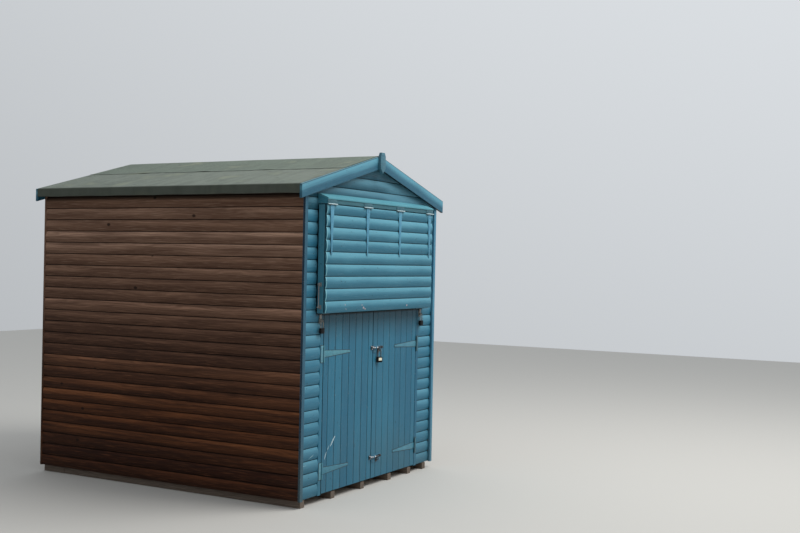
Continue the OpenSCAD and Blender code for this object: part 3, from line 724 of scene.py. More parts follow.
# The right strip's face takes the paler blue, as painted light.
front_strips = [left_strip, right_strip._replace(kinds=2 - right_strip.kinds)]
paints = [trim_paint, shaded_trim, lit_trim]
joined("front_strips", front_strips, paints, "hut", "blue_paint", "front_corner_strips")
back_strips = corner_strips(back_y)
joined("back_strips", back_strips, [stain, stain], "hut", "brown_stain", "back_corner_strips")
jambs = [
    carried(eased(block(jamb_w, board_t), 0.002), (x, front_y, base_z), (x, front_y, head_z), X, Y)
    for x in (-jamb_x - jamb_w / 2, jamb_x + jamb_w / 2)
]
door_top = 1.306
# A painted shadow of the hatch across the top of the leaves and jambs.
door_paint = brushed_paint("door_paint", "1b5772", "2e748e", 0.3, lintel=door_top)
joined("jamb_posts", jambs, [door_paint], "hut", "blue_paint", "door_jambs")


# Roof boards and eaves boards: tongued and grooved boards nailed across the gables and
# the purlins, and a board along each eaves that the felt is folded over.
deck_low, deck_high = corners("right_roof_boards")
roof_y0, roof_y1, deck_x = deck_low[1], deck_high[1], deck_high[0]
deck_count, deck_start = 11, 0.0035
deck_cover = (deck_x / slope_x - deck_start) / deck_count
for side, s in SIDES:
    down, out = np.array((s * slope_x, 0, -slope_z)), off_slope(s)
    parts = []
    for i in range(deck_count):
        sides = (0.0015, 0.0015), i > 0, i < deck_count - 1
        section = matched_section(deck_cover, deck_t, *sides)
        section[:, 1] = deck_t - section[:, 1]
        start = ridge_z * Z + (deck_start + i * deck_cover) * down - deck_t * out
        parts.append(carried(section, start + roof_y0 * Y, start + roof_y1 * Y, down, out))
    joined(f"{side}_roof_deck", parts, [inner_wood], "hut", "frame_wood", f"{side}_roof_boards")
eaves_wood = bare_timber("eaves_wood", "4b4a3e", "2b2b25")
low, high = corners("eaves_boards")
eaves_t = 0.018
eaves_parts = []
for s in (-1, 1):
    x0, x1 = sorted((s * high[0], s * (high[0] - eaves_t)))
    eaves_top = under_roof(high[0]) - 0.0005
    eaves_parts.append(stick((x0, *low[1:]), (x1, high[1], eaves_top), 1))
joined("eaves_lengths", eaves_parts, [eaves_wood], "hut", "dark_eaves", "eaves_boards")


# Roofing felt: green mineral felt, one sheet on each slope that is folded down over the
# eaves board, and a sheet over the ridge that laps both. Galvanised clout nails hold it.
def directions(path, closed=False):
    """The unit direction of a path at each of its points."""
    ahead, behind = np.roll(path, -1, 0), np.roll(path, 1, 0)
    return unit(ahead - behind if closed else np.gradient(path, axis=0))


def left_of(step):
    """Each direction (x, z) turned left by a quarter turn, to (-z, x)."""
    return np.column_stack([-step[:, 1], step[:, 0]])


def sheet_grid(path):
    """How far each point of a sheet lies along its path, and its y; and the path's length."""
    u = np.concatenate([[0], np.cumsum(np.linalg.norm(np.diff(path, axis=0), axis=1))])
    return *np.meshgrid(u, np.linspace(roof_y0, roof_y1, 121)), u[-1]


def felt_sheet(path, ripple, slide):
    """A sheet 3 mm thick: the path (x, z) of its outer face is carried along Y, and its
    inner face lies inside it by the thickness. At each (u, v) of its grid, both are lifted by
    ripple and slid along the path by slide."""
    step = directions(path)
    normal = left_of(step)
    u, v, _ = sheet_grid(path)
    outer = path + ripple[..., None] * normal + slide[..., None] * step
    ring = np.concatenate([outer, (outer - felt_t * normal)[:, ::-1]], axis=1)
    along = np.concatenate([u, u[:, ::-1]], axis=1)
    down = np.concatenate([v, v[:, ::-1]], axis=1)
    points = np.stack([ring[..., 0], down, ring[..., 1]], -1)
    return skin(points, np.stack([down, along, 0 * along], -1), strip=True)


def mineral_felt(name, pale, deep, lap_at=9.0):
    """Bitumen felt with crushed green slate: granules a millimetre across, thin and worn patches,
    and streaks where rain runs down the slope. Below lap_at, bitumen has run out. From 1.045 m down
    the sheet, round the fold and on the drop over the eaves, it is darker, as painted shade."""
    felt = Finish(name)
    where, on_sheet = felt.where(), felt.on_board()
    granule = felt.noise(where, (900, 900, 900), 1.0)
    patch = felt.noise(where, (5, 5, 5), 4.0)
    run = felt.noise(on_sheet, (16, 1.6, 1), 4.0)
    down = felt.axis("Y", on_sheet)
    felt.colour = felt.mixed(felt.step(granule, 0.35, 0.65), deep, pale)
    felt.coat(felt.step(felt.total(run, patch), 0.85, 1.25, 0.0, 0.45), "4d564e")
    felt.coat_from(patch, 0.56, 0.72, 0.5, "868c78")
    felt.coat(felt.step(felt.noise(where, (11, 9, 11)), 0.66, 0.72, 0.0, 0.55), "485049")
    bled = felt.step(down, lap_at + 0.022, lap_at + 0.006, 0.0, 0.75)
    bled = felt.product(bled, felt.step(run, 0.35, 0.6))
    bled = felt.product(bled, felt.step(down, lap_at - 0.02, lap_at))
    felt.coat(bled, "33392f")
    # Darker round the fold and on the drop: painted shade.
    felt.coat_from(down, 1.045, 1.075, 0.68, "363b32")
    rough = felt.step(granule, 0.3, 0.7, 0.8, 0.95)
    return felt.done(rough, felt.total(granule, patch), 0.0009)


felt_t, clout = 0.003, (0.005, 0.0012)
felt_v, eaves_x = felt_t / slope_x, deck_x + felt_t
eaves_drop, fold_r, round_off = 0.060, 0.006, 0.02
reach = corners("ridge_felt")[1][0]
lower_felt = mineral_felt("lower_felt", "7c847b", "5d665b", reach / slope_x)
ridge_felt = mineral_felt("ridge_felt", "737e72", "535f54")
plating = Finish("zinc", Metallic=0.8)
patch = plating.noise(plating.where(), (300, 300, 300))
plating.colour = plating.mixed(patch, "8b8f91", "5c5f60")
zinc = plating.done(plating.step(patch, 0.3, 0.7, 0.35, 0.6), patch, 0.0002)


def sway(u, v, phase):
    """Slow waves of a sheet that doesn't lie quite flat."""
    return np.sin(7.1 * v + 5 * u + phase) + 0.6 * np.sin(12.7 * v - 9 * u + 2 * phase)


x = np.concatenate([np.linspace(0, 0.9, 19), np.linspace(0.92, eaves_x - fold_r, 6)])
slope = np.column_stack([x, ridge_z + felt_v - x * fall])
edge_z = ridge_z + felt_v - eaves_x * fall
a = np.linspace(pitch, np.pi / 2, 5)[1:]
centre_z = edge_z - fold_r * 0.8
fold = np.column_stack([eaves_x - fold_r + np.sin(a) * fold_r, centre_z + np.cos(a) * fold_r])
drop_z = np.linspace(centre_z - 0.006, edge_z - eaves_drop, 6)
drop = np.column_stack([0 * drop_z + eaves_x, drop_z])
path = np.concatenate([slope[:-1], fold, drop])
u, v, length = sheet_grid(path)
loose = np.clip((u - length + 0.05) / 0.05, 0, 1)
for side, s in SIDES:
    ripple = 0.0004 * (1.6 + sway(u, v, s)) * (u < length - 0.06)
    sheet = felt_sheet(path * (s, 1), ripple, loose * 0.0015 * sway(0 * u, 2 * v, 1 + s))
    nail_ys = np.arange(roof_y0 + 0.03, roof_y1, 0.075)
    spots = [(s * (eaves_x + hair), y, drop_z[3]) for y in nail_ys]
    parts = [sheet, heads(*clout, spots, s * X).of_kind(1)]
    joined(f"{side}_felt_sheet", parts, [lower_felt, zinc], "hut", "roof_felt", f"{side}_felt")

near_edge = np.array([0, 0.004, 0.012, 0.03, 0.06]) - reach
left_x = np.array([*near_edge, *np.linspace(-0.38, -0.02, 10), -0.008])
x = np.array([*left_x, 0, *-left_x[::-1]])
flat_z = ridge_z + 2 * felt_v
z = flat_z - fall * (np.sqrt(x**2 + round_off**2) - round_off * 0.55)
path = np.column_stack([x, np.minimum(z, flat_z - np.abs(x) * fall + 0.0004)])
u, v, length = sheet_grid(path)
# Both long edges lap the sheets below: lap is 1 there, and falls to 0 in 60 mm. They lift off
# in places between their nails, and wander by a few millimetres, as they were cut by eye.
lap = np.clip(1 - np.minimum(u, length - u) / 0.06, 0, 1) ** 2
lifts = np.clip(np.sin(9.3 * v + 1.1) + np.sin(21.7 * v) - 0.5, 0, 2)
ripple = lap * (0.0008 + 0.0022 * lifts) + 0.0003 * (1.6 + sway(u, v, 4))
wander = np.sign(u - length / 2) * lap * 0.0035 * sway(0 * u, v, 2)
parts = [felt_sheet(path, ripple, wander)]
nail_x = reach - 0.016
for s in (-1, 1):
    nail_ys = np.arange(roof_y0 + 0.02, roof_y1, 0.05)
    spots = [(s * nail_x, y, flat_z - nail_x * fall + 0.0012) for y in nail_ys]
    parts.append(heads(*clout, spots, off_slope(s)).of_kind(1))
joined("ridge_felt_sheet", parts, [ridge_felt, zinc], "hut", "roof_felt", "ridge_felt")


# Bargeboards and finial: planed boards plumb-cut at both ends, nailed to the ends of the
# roof boards, and the pointed finial that covers the joint at the apex.
barge_w, barge_t = 0.092, 0.020
# The bargeboard is painted paler towards its upper edge, as painted light.
top_lit = (-0.4 * barge_w, 0.5 * barge_w)
barge_paint = brushed_paint("barge_paint", "25596f", "5a97ab", course=top_lit)
underside_shade_paint = brushed_paint("underside_shade_paint", "070d11", "0d171c")
section = eased(block(barge_w, barge_t), 0.0025)
# Each corner of the section has five points. The arrises under the felt are darker, as painted
# shade, and the side between the last corner and the first faces down and takes a near-black paint,
# as painted shade.
section[[6, 7, 8, 11, 12, 13], 2] = -0.7
under = np.isin(np.arange(len(section)), (18, 19, 0)).astype(int)
middle = ridge_z + felt_v - barge_w / slope_x / 2
for where, y, out in (("front", roof_y0 - barge_t, -Y), ("back", roof_y1, Y)):
    face = y if where == "front" else y + barge_t
    parts = []
    for s in (-1, 1):
        start = (s * 0.001, y, middle - 0.001 * fall)
        end = (s * eaves_x, y, middle - eaves_x * fall)
        board = carried(section, start, end, off_slope(s), Y, (X, X), stations=9, kinds=under)
        spots = [
            (s * x, face, middle - x * fall + lift)
            for x in np.linspace(0.1, eaves_x - 0.05, 6)
            for lift in (-0.02, 0.02)
        ]
        parts += [board, heads(0.0025, 0.0006, spots, out, 6)]
    node = f"{where}_bargeboards"
    joined(node + "_planed", parts, [barge_paint, underside_shade_paint], "hut", "blue_paint", node)


def inset_by(outline, distance):
    """An outline (w, h) whose sides are all moved inwards: each corner goes along the sum of
    the normals of its two sides, divided by 1 plus the cosine between them."""
    loop = np.asarray(outline, float)
    before, after = unit(loop - np.roll(loop, 1, 0)), unit(np.roll(loop, -1, 0) - loop)
    inward = left_of(before) + left_of(after)
    return loop + distance * inward / (1 + np.sum(before * after, axis=1, keepdims=True))


def slab(outline, back, front, ease, across=X, up=Z, out=-Y, edge=(0, 0.6, 1, 0.6)):
    """A flat shape cut from a sheet: its outline (w, h) is carried from t = back to t = front
    along out, and drawn in by ease at the front, as a file would take off the arris."""
    levels = [(back, 0), (front - ease, 0), (front - 0.3 * ease, 0.3), (front, 1)]
    rings = [
        inset_by(outline, share * ease) @ np.array([across, up]) + t * np.asarray(out)
        for t, share in levels
    ]
    return skin(np.array(rings), edge=np.array(edge)[:, None])


finial_paint = brushed_paint("finial_paint", "1e4759", "4a7a8a")
low, high = corners("finial")
half, point, clip = high[0], 0.042, 0.014
shoulder, tip = high[2] - 2 * clip, low[2] + point
outline = [(0, low[2]), (half, tip), (half, shoulder), (half - clip, high[2])]
outline += [(clip - half, high[2]), (-half, shoulder), (-half, tip)]
spots = [(0, low[1], high[2] - 0.05), (0, low[1], low[2] + 0.055)]
parts = [slab(outline, -high[1], -low[1], 0.003), heads(0.003, 0.0008, spots, -Y)]
joined("finial_board", parts, [finial_paint], "hut", "blue_paint", "finial")


# Hatch header: a block across the front with a sloping top, and a thin weather strip
# nailed on it that throws the rain clear of the hatch.
header_paint = brushed_paint("header_paint", "205060", "366873")
# A paler blue for the header's ends, as painted light.
lit_header_end_paint = brushed_paint("lit_header_end_paint", "29718a", "4590a4")
strip_paint = brushed_paint("strip_paint", "3a7b8d", "5696a3")
low, high = corners("hatch_header")
strip_low, strip_high = corners("weather_strip")
out_w, lip_w, header_h, lip_t = front_y - low[1], front_y - strip_low[1], 0.032, 0.012


def on_front(outline, ease, **of_skin):
    """A length as long as the header. Its outline (w, z) has its back on the cladding."""
    ends = (low[0], front_y, 0), (high[0], front_y, 0)
    return carried(eased(outline, ease), *ends, -Y, Z, stations=9, **of_skin)


# The back of the header, out of sight, is of the kind of its ends, which are a paler blue than its
# front, as painted light.
outline = [(0, low[2]), (out_w, low[2]), (out_w, low[2] + header_h), (0, high[2])]
header = on_front(outline, 0.0025, kinds=(np.arange(20) < 18).astype(int))
header_paints = [lit_header_end_paint, header_paint]
joined("header_block", [header], header_paints, "hut", "blue_paint", "hatch_header")
outline = [(0, high[2] + hair), (lip_w, strip_low[2])]
outline += [(lip_w, strip_low[2] + lip_t), (0, strip_high[2])]
strip = on_front(outline, 0.0015)
joined("weather_strip_length", [strip], [strip_paint], "hut", "blue_paint", "weather_strip")


# Hatch: a softwood frame 50 mm deep with two inner uprights, clad with nine loglap boards
# that are nailed to it. It hangs from the header by its hinges.
low, high = hatch_low, hatch_high
bar_w, cross_len, hatch_cover = 0.038, 0.116, 0.085
inner_x = (high[0] - low[0] - cross_len) / 6
parts = []
for z in (low[2], high[2] - bar_w):
    parts.append(stick((low[0], low[1], z), (high[0], high[1], z + bar_w), 0))
for x in (low[0], -inner_x - bar_w / 2, inner_x - bar_w / 2, high[0] - bar_w):
    parts.append(stick((x, low[1], low[2] + bar_w), (x + bar_w, high[1], high[2] - bar_w), 2))
frame_paint = brushed_paint("frame_paint", "3d8096", "5f9db0")
joined("hatch_framing", parts, [frame_paint], "hatch", "blue_paint", "hatch_frame")

# Each board painted paler upwards, as painted light.
hatch_paint = brushed_paint(
    "hatch_paint", "2a687e", "5795a8", course=(0.1 * hatch_cover, hatch_cover), arris="86bfc8"
)
hatch_y, hatch_rows = low[1], 9
parts = []
for i in range(hatch_rows):
    z = low[2] + i * hatch_cover
    section = log_section(hatch_cover, high[2] - z)
    parts.append(log_board(section, (low[0], hatch_y, z), (high[0], hatch_y, z), -Y))
    if i < hatch_rows - 1:
        nail_y = hatch_y - board_t + nail_in
        nail_xs = (low[0] + 0.02, -inner_x, inner_x, high[0] - 0.02)
        parts.append(heads(*face_nail, [(x, nail_y, z + nail_up) for x in nail_xs], -Y, 6))
joined("hatch_logs", parts, [hatch_paint, inner_wood], "hatch", "blue_paint", "hatch_boards")


# Doors: two leaves of upright matchboards with V joints, nailed to three ledges and two
# braces. Faces are painted and backs are bare.
match_w, small_vee, leaf_t, gap = 0.091, 0.0012, 0.014, 0.006
ledge_t, ledge_w, inset = 0.022, 0.095, 0.040
lower_hinge, upper_hinge = hinge_zs = (0.215, 1.030)
ledges = [lower_hinge, (lower_hinge + upper_hinge) / 2, upper_hinge]
for side, s, vee in (("left", -1, 0.0035), ("right", 1, 0.0026)):
    low, high = corners(f"{side}_door")
    inner, leaf_w = gap / 2, high[0] - low[0]
    edges = [0, *(leaf_w / 2 + i * match_w for i in range(-3, 4)), leaf_w]
    last = len(edges) - 2
    parts = []
    for i, (w0, w1) in enumerate(zip(edges[:-1], edges[1:])):
        vees = (vee if i > 0 else small_vee, vee if i < last else small_vee)
        section = matched_section(w1 - w0, leaf_t, vees, i > 0, i < last)
        start = (s * (inner + w0), front_y + leaf_t, low[2])
        kinds = sides_between(section[:, 1] < 1e-6)
        end = (*start[:2], high[2])
        parts.append(carried(section, start, end, s * X, -Y, kinds=kinds, stations=7))
        spots = [
            (s * (inner + (w0 + w1) / 2 + d), front_y + 0.0004, z + e)
            for z in ledges
            for d, e in ((-0.018, 0.022), (0.018, -0.022))
        ]
        parts.append(heads(0.0022, 0.0004, spots, -Y, 6))
    leaf, node = f"{side}_leaf", f"{side}_door"
    joined(leaf + "_boards", parts, [door_paint, inner_wood], leaf, "blue_paint", node)

    x0, x1 = inner + inset, inner + leaf_w - inset
    y = front_y + leaf_t
    section = eased(block(ledge_w, ledge_t), 0.004)
    parts = [carried(section, (s * x0, y, z), (s * x1, y, z), Z, Y) for z in ledges]
    for z0, z1 in zip(ledges[:-1], ledges[1:]):
        start = np.array((s * (x1 - ledge_w / 2), y, z0))
        end = np.array((s * (x0 + ledge_w / 2), y, z1))
        share = ledge_w / 2 / (z1 - z0)
        start, end = start + share * (end - start), end - share * (end - start)
        along = unit(end - start)
        section = eased(block(ledge_w * abs(along[2]), ledge_t), 0.004)
        parts.append(carried(section, start, end, np.cross(along, Y), Y, (Z, Z)))
    joined(leaf + "_ledges", parts, [inner_wood], leaf, "frame_wood", node + "_ledges")


# T-hinges: cross plates screwed to the jambs or to the header, and long tapered straps
# whose roots are rolled round the pins. All have been painted over with the woodwork.
def iron_paint(name, colour, light, rust=0.70):
    """Paint over forged iron: smoother than on wood, with rust at the worn edges. Where edge is
    below 0 it is darker, as dirt and painted shade.
    """
    paint = Finish(name)
    where, edge = paint.where(), paint.mark("edge")
    lump = paint.noise(where, (140, 140, 140))
    paint.colour = paint.mixed(paint.noise(where, (22, 22, 22)), colour, light)
    worn = paint.total(paint.product(edge, 0.12), lump)
    spots = paint.step(worn, rust, rust + 0.05, 0.0, 0.8)
    paint.coat(spots, "4a3327")
    # Darker where edge is below 0: dirt and painted shade.
    paint.coat_from(edge, -0.1, -0.9, 0.9, "0e1a20")
    rough = paint.step(lump, 0.3, 0.7, 0.38, 0.62)
    return paint.done(rough, paint.worked("SUBTRACT", lump, spots), 0.0004)


def placed(parts, origin, axes=np.eye(3), kind=0):
    """Parts moved to an origin with their own axes along axes, their kinds raised by kind."""
    return [part.moved(origin, axes).of_kind(kind) for part in parts]


def band(path, thickness):
    """Closed section (w, t, edge) of a flat bar bent along a path, which is its middle line."""
    path = np.asarray(path, float)
    normal = left_of(directions(path)) * thickness / 2
    loop = np.concatenate([path + normal, (path - normal)[::-1]])
    return np.column_stack([loop, 0 * loop[:, 0]])


def arc(centre, radius, first, last, count):
    """Points of an arc round a centre, from one angle to another in degrees."""
    a = np.radians(np.linspace(first, last, count))
    return np.asarray(centre) + radius * np.column_stack([np.cos(a), np.sin(a)])


def barrel(radius, z0, z1):
    """A short round bar on the z axis: circles of 16 points, smaller by ease at both rims."""
    ring, ease = circle(16, X, Y), 0.0005
    levels = [(radius - ease, z0), (radius, z0 + ease), (radius, z1 - ease), (radius - ease, z1)]
    return skin(np.array([r * ring + z * Z for r, z in levels]))


iron_t, axis_out, knuckle_r, pin_r = 0.003, 0.006, 0.0055, 0.0025
cross_w, strap_len, root_w, tip_w = 0.032, 0.350, 0.048, 0.014
hinge_paint = iron_paint("hinge_paint", "31758a", "62a0ac")
# A darker copy of the hinge paint, as painted shade on all straps but the upper left one.
shaded_hinge = iron_paint("shaded_hinge", "296a82", "4f8c9d")
plate_paint = iron_paint("plate_paint", "467f92", "6fa3b1", 0.72)
# The header's own blue, which on the right door's plates stands for painted shade.
header_blue_and_shade_iron = iron_paint("header_blue_and_shade_iron", "205060", "366873", 0.72)
hatch_strap_paint = iron_paint("hatch_strap_paint", "2c7090", "5798b0")
# A pale paint for the hatch hinges' knuckles and pins, as a painted highlight along them, with real
# rust.
knuckle_highlight_iron = iron_paint("knuckle_highlight_iron", "7fa4ae", "bccacc")
# dark_rim darkens an iron's back rim, where it meets the face below, as painted shade.
dark_rim, on_face = (-1, 0.4, 1, 0.6), axis_out * Y


def dirt_and_shadow_line(outline):
    """A dark film 4.5 mm wide round an iron: partly dirt and thick paint, partly a painted shadow
    of the iron.
    """
    film = slab(inset_by(outline, -0.0045), -0.0002, 0.0005, 0.0002, edge=(-1, -1, -1, -1))
    return film.moved(on_face)


def oblong(x0, x1, half, middle=0.0):
    """Outline (w, h) of a plate from w = x0 to x1, with half of its height above the middle."""
    low, high = middle - half, middle + half
    return [(x0, low), (x1, low), (x1, high), (x0, high)]


def rolled(side, z0, z1):
    """The end of a plate rolled round the pin: it comes in along the back and goes on round the pin
    by 240 degrees. The half towards the strap is darker, as painted shade; on the hatch that is the
    lower half."""
    sheet = 0.0024
    flat = np.column_stack([side * np.linspace(0.012, 0.003, 3), [axis_out - iron_t / 2] * 3])
    curl = arc((0, 0), knuckle_r - sheet / 2, 90, 90 + side * 240, 15)
    section = band(np.concatenate([flat, curl]), sheet)
    # Painted shade on the half towards the strap.
    section[section[:, 0] > 0.0015, 2] = -1
    return carried(section, (0, 0, z0), (0, 0, z1), X, Y, stations=2, strip=True).of_kind(1)


def iron_screws(places):
    """Screw heads at the places (x, z) on the face of a hinge's iron."""
    return heads(0.0042, 0.0014, [(x, axis_out - iron_t, z) for x, z in places], -Y, 10)


def hinge_strap():
    """Tapered strap with a round tip along +x from the pin, its root rolled round the pin."""
    tip = arc((strap_len - tip_w / 2, 0), tip_w / 2, -90, 90, 9)
    outline = [(0.004, -root_w / 2), *tip, (0.004, root_w / 2)]
    strap = slab(outline, 0, iron_t, 0.0007, edge=dark_rim).moved(on_face)
    screws = iron_screws(((0.03, 0.009), (0.03, -0.009), (0.12, 0), (0.22, 0), (0.32, 0)))
    return [strap, rolled(1, -root_w / 2, root_w / 2), screws]


def hinge_plate():
    """Cross plate towards -x from the pin, with a knuckle at each end, and the pin."""
    knuckle, end = (cross_len - root_w) / 2 - 0.0005, cross_len / 2
    outline = eased(oblong(-cross_w, -0.004, end), 0.003)[:, :2]
    leaf = slab(outline, 0, iron_t, 0.0007, edge=dark_rim).moved(on_face)
    pin = barrel(pin_r, -end - 0.0012, end + 0.0012).of_kind(1)
    knuckles = [rolled(-1, z0, z0 + knuckle) for z0 in (-end, end - knuckle)]
    screws = iron_screws(((-0.015, -0.044), (-0.023, -0.02), (-0.023, 0.02), (-0.015, 0.044)))
    return [leaf, *knuckles, pin, screws]


door_pin = np.array((jamb_x - gap / 2, front_y - axis_out, 0))
root = root_w / 2 - 0.001
# Outlines of the dark films round straps and plates: dirt and painted shadow.
strap_dirt_and_shadow = [(0.009, -root), (strap_len, -tip_w / 2), (strap_len, tip_w / 2), (0.009, root)]
plate_dirt_and_shadow = oblong(-cross_w, -0.008, cross_len / 2)
plates = []
for side, s, axes in (("left", -1, np.eye(3)), ("right", 1, np.diag((-1.0, 1.0, -1.0)))):
    straps = []
    for z in hinge_zs:
        origin = door_pin * (s, 1, 1) + z * Z
        # The upper left strap keeps the lit paint; the others take the darker copy, as painted
        # shade.
        kind = 0 if side == "left" and z == upper_hinge else 2
        straps += placed([dirt_and_shadow_line(strap_dirt_and_shadow), *hinge_strap()], origin, axes, kind)
        # The right door's plates and knuckles take darker paints, as painted shade.
        plates += placed([dirt_and_shadow_line(plate_dirt_and_shadow), *hinge_plate()], origin, axes, 1 + s)
    node, paints = f"{side}_door_straps", [hinge_paint, plate_paint, shaded_hinge, shaded_hinge]
    joined(node + "_forged", straps, paints, f"{side}_leaf", "painted_iron", node)
paints = [plate_paint, hinge_paint, header_blue_and_shade_iron, shaded_hinge]
joined("door_cross_plates", plates, paints, "hut", "painted_iron", "door_hinge_plates")

hatch_pin = np.array((0, hatch_y - board_t - axis_out, 2.067))
hang_down = [-Z, Y, X]
straps, plates = [], []
for i in (-1.5, -0.5, 0.5, 1.5):
    origin = hatch_pin + i * (hatch_high[0] - hatch_low[0] - cross_len) / 3 * X
    straps += placed(hinge_strap(), origin, hang_down)
    plates += placed(hinge_plate(), origin, hang_down)
paints = [hatch_strap_paint, knuckle_highlight_iron]
joined("hatch_straps_forged", straps, paints, "hatch", "painted_iron", "hatch_hinge_straps")
paints = [header_blue_and_shade_iron, knuckle_highlight_iron]
joined("hatch_cross_plates", plates, paints, "hut", "painted_iron", "hatch_hinge_plates")


# Hook: a rusty rod that hangs by its eye on a pin at the side of the hatch. Its lower end
# is bent over and held in a second bracket.
def rod(path, radius, normal, sides=12, closed=False, ease=0.0006):
    """A round rod along a flat path whose plane has the given normal: a circle is carried in
    the plane square to the path. Both ends are drawn in to take off the rim."""
    path = np.asarray(path, float)
    step = directions(path, closed)
    across = np.cross(normal, step)
    size = np.full(len(path) + (0 if closed else 2), radius)
    if not closed:
        rims = path[:1] + ease * step[:1], path[-1:] - ease * step[-1:]
        path = np.concatenate([path[:1], rims[0], path[1:-1], rims[1], path[-1:]])
        across = across[[0, *range(len(across)), -1]]
        size[[0, -1]] -= ease
    ring = circle(sides, across[:, None], normal)
    return skin(path[:, None] + size[:, None, None] * ring, closed=closed)


def iron_plate(outline, *ways):
    """A plate as thick as the hinges' iron, with its arris filed off, on a face at 0."""
    return slab(outline, 0, iron_t, 0.0006, *ways)


def bar(x0, x1, count, radius, y=0.0, z=0.0, **of_rod):
    """A straight round rod along X, over a number of points."""
    return rod([(x, y, z) for x in np.linspace(x0, x1, count)], radius, Y, **of_rod)


def bare_iron(name, light, dark, rust, metallic, reds=("6b4434", "8c6653")):
    """Iron without paint: dull metal with rust that grows in patches."""
    iron = Finish(name, Metallic=metallic)
    where = iron.where()
    grime = iron.noise(where, (70, 70, 70), 4.0)
    pits = iron.noise(where, (600, 600, 600), 2.0)
    iron.colour = iron.mixed(pits, light, dark)
    rusty = iron.step(grime, 0.62 - rust, 0.72 - rust)
    iron.coat(rusty, iron.mixed(pits, *reds))
    rough = iron.step(rusty, 0.0, 1.0, 0.38, 0.85)
    return iron.done(rough, iron.total(pits, grime), 0.0004)


rusty_iron = bare_iron("rusty_iron", "a5a5a2", "5e5b5c", 0.02, 0.2, ("6f5d60", "9c8a8c"))
hook_y = (hatch_low[1] + hatch_high[1]) / 2 + 0.003
hook_base = np.array((hatch_low[0], hook_y, hatch_low[2] + 0.043))
hook_len, hook_r, bend_r = 0.155, 0.004, 0.009
rod_x, hole_r = -4.5 * hook_r, hook_r - 0.0009
eye_z = hook_len - 0.0003
parts = []
for z in (0, hook_len):
    outline = eased(oblong(-0.012, 0.012, 0.014, z), 0.003)[:, :2]
    parts.append(iron_plate(outline, Y, Z, -X))
    spots = [(-iron_t, y, z + d) for y, d in ((-0.0085, 0.0095), (0.0085, -0.0095))]
    parts.append(heads(0.0026, 0.001, spots, -X))
parts.append(bar(rod_x - 0.006, -0.002, 4, hook_r - 0.0015, z=hook_len))
parts.append(bar(rod_x - 0.0075, rod_x - 0.0055, 2, hook_r + 0.0005, z=hook_len))
eye = arc((0, eye_z), hole_r + hook_r, 0, 360, 25)[:-1]
parts.append(rod([(rod_x, y, z) for y, z in eye], hook_r, X, closed=True))
shank = [(rod_x, z) for z in np.linspace(eye_z - hole_r - hook_r, 0.012, 8)]
hook = [*shank, *arc((rod_x + bend_r, bend_r), bend_r, 180, 270, 7), (-0.004, 0.0)]
parts.append(rod([(x, 0, z) for x, z in hook], hook_r, Y))
parts.append(bar(rod_x - 0.018, rod_x + 0.006, 4, hook_r))
joined("hook_rod", placed(parts, hook_base), [rusty_iron], "hatch", "rusty_iron", "hatch_hook")


# Padbolts: each has a back plate, two arched guides, a rod with a lug that drops over a
# staple, and a keeper on the other leaf. The plating has gone dull and rusty.
highlit_plating = bare_iron("plated_and_highlit_steel", "f2f4f6", "b9bfc4", 0.0, 0.4)
dull_steel = bare_iron("dull_steel", "45464a", "141518", 0.06, 0.2, ("241c1a", "453a36"))
old_steel = bare_iron("old_steel", "a9aba5", "3d3c3c", 0.08, 0.2, ("3d2f2b", "857068"))
soot_and_shade_steel = bare_iron("soot_and_shade_steel", "1d2029", "0a0b0e", 0.0, 0.1)
bolt_paint = iron_paint("bolt_paint", "1d5a74", "31768f", 0.66)
bolt_r, bolt_fit, guide_w, corner_r = 0.006, 0.0003, 0.014, 0.004
bolt_out = bolt_r + bolt_fit + 0.001
bolt_up = bolt_r + bolt_fit + iron_t + 0.006
bolt_l, bolt_h, bolt_x = 0.130, 0.056, 0.070
staple_r, staple_bend, staple_leg = 0.0025, 0.0075, 0.014
staple_drop = bolt_r + staple_bend + staple_r + 0.004
upper_bolt, lower_bolt = 1.035, 0.215
plate_face = -iron_t * Y


def rounded(width, height, radius, middle=0.0):
    """Outline (w, h) of a rectangle with round corners, centred on (0, middle)."""
    w, h = width / 2 - radius, height / 2 - radius
    corner = ((w, -h, -90), (w, h, 0), (-w, h, 90), (-w, -h, 180))
    arcs = [arc((x, y), radius, a, a + 90, 5) for x, y, a in corner]
    return np.concatenate(arcs) + (0, middle)


def guide(x, width):
    """A strip bent over the rod, with a foot on each side of it, on a plate at y = 0."""
    mid_r = bolt_r + bolt_fit + iron_t / 2
    arch = arc((0, bolt_out), mid_r, 0, 180, 13)
    path = [(mid_r, 0.0), (mid_r, 0.5 * bolt_out), *arch, (-mid_r, 0.5 * bolt_out), (-mid_r, 0.0)]
    section = band(path, iron_t)
    return carried(section, (x, 0, 0), (x + width, 0, 0), Z, -Y, stations=2, strip=True)


def staple():
    """A rod bent to a U that stands out of a face at y = 0 in the plane x = 0."""
    bend = arc((staple_leg, 0), staple_bend, 90, -90, 11)
    path = [(-0.001, staple_bend), *bend, (-0.001, -staple_bend)]
    return rod([(0, -out, z) for out, z in path], staple_r, X)


def at_depth(loop, y):
    """The points (x, y, z) of an outline (x, z)."""
    return np.column_stack([loop[:, 0], np.full(len(loop), y), loop[:, 1]])


def slotted(outer, slot_z):
    """A plate with a slot at z = slot_z, on a back plate: rings between the two outlines,
    which have equally many points."""
    slot_w, slot_h = 2 * (staple_r + 0.001), 2 * (staple_bend + staple_r + 0.001)
    slot = rounded(slot_w, slot_h, 0.002, slot_z)
    rings = [(outer, iron_t), (outer, 2 * iron_t), (slot, 2 * iron_t), (slot, iron_t)]
    return skin(np.array([at_depth(loop, -t) for loop, t in rings]), closed=True)


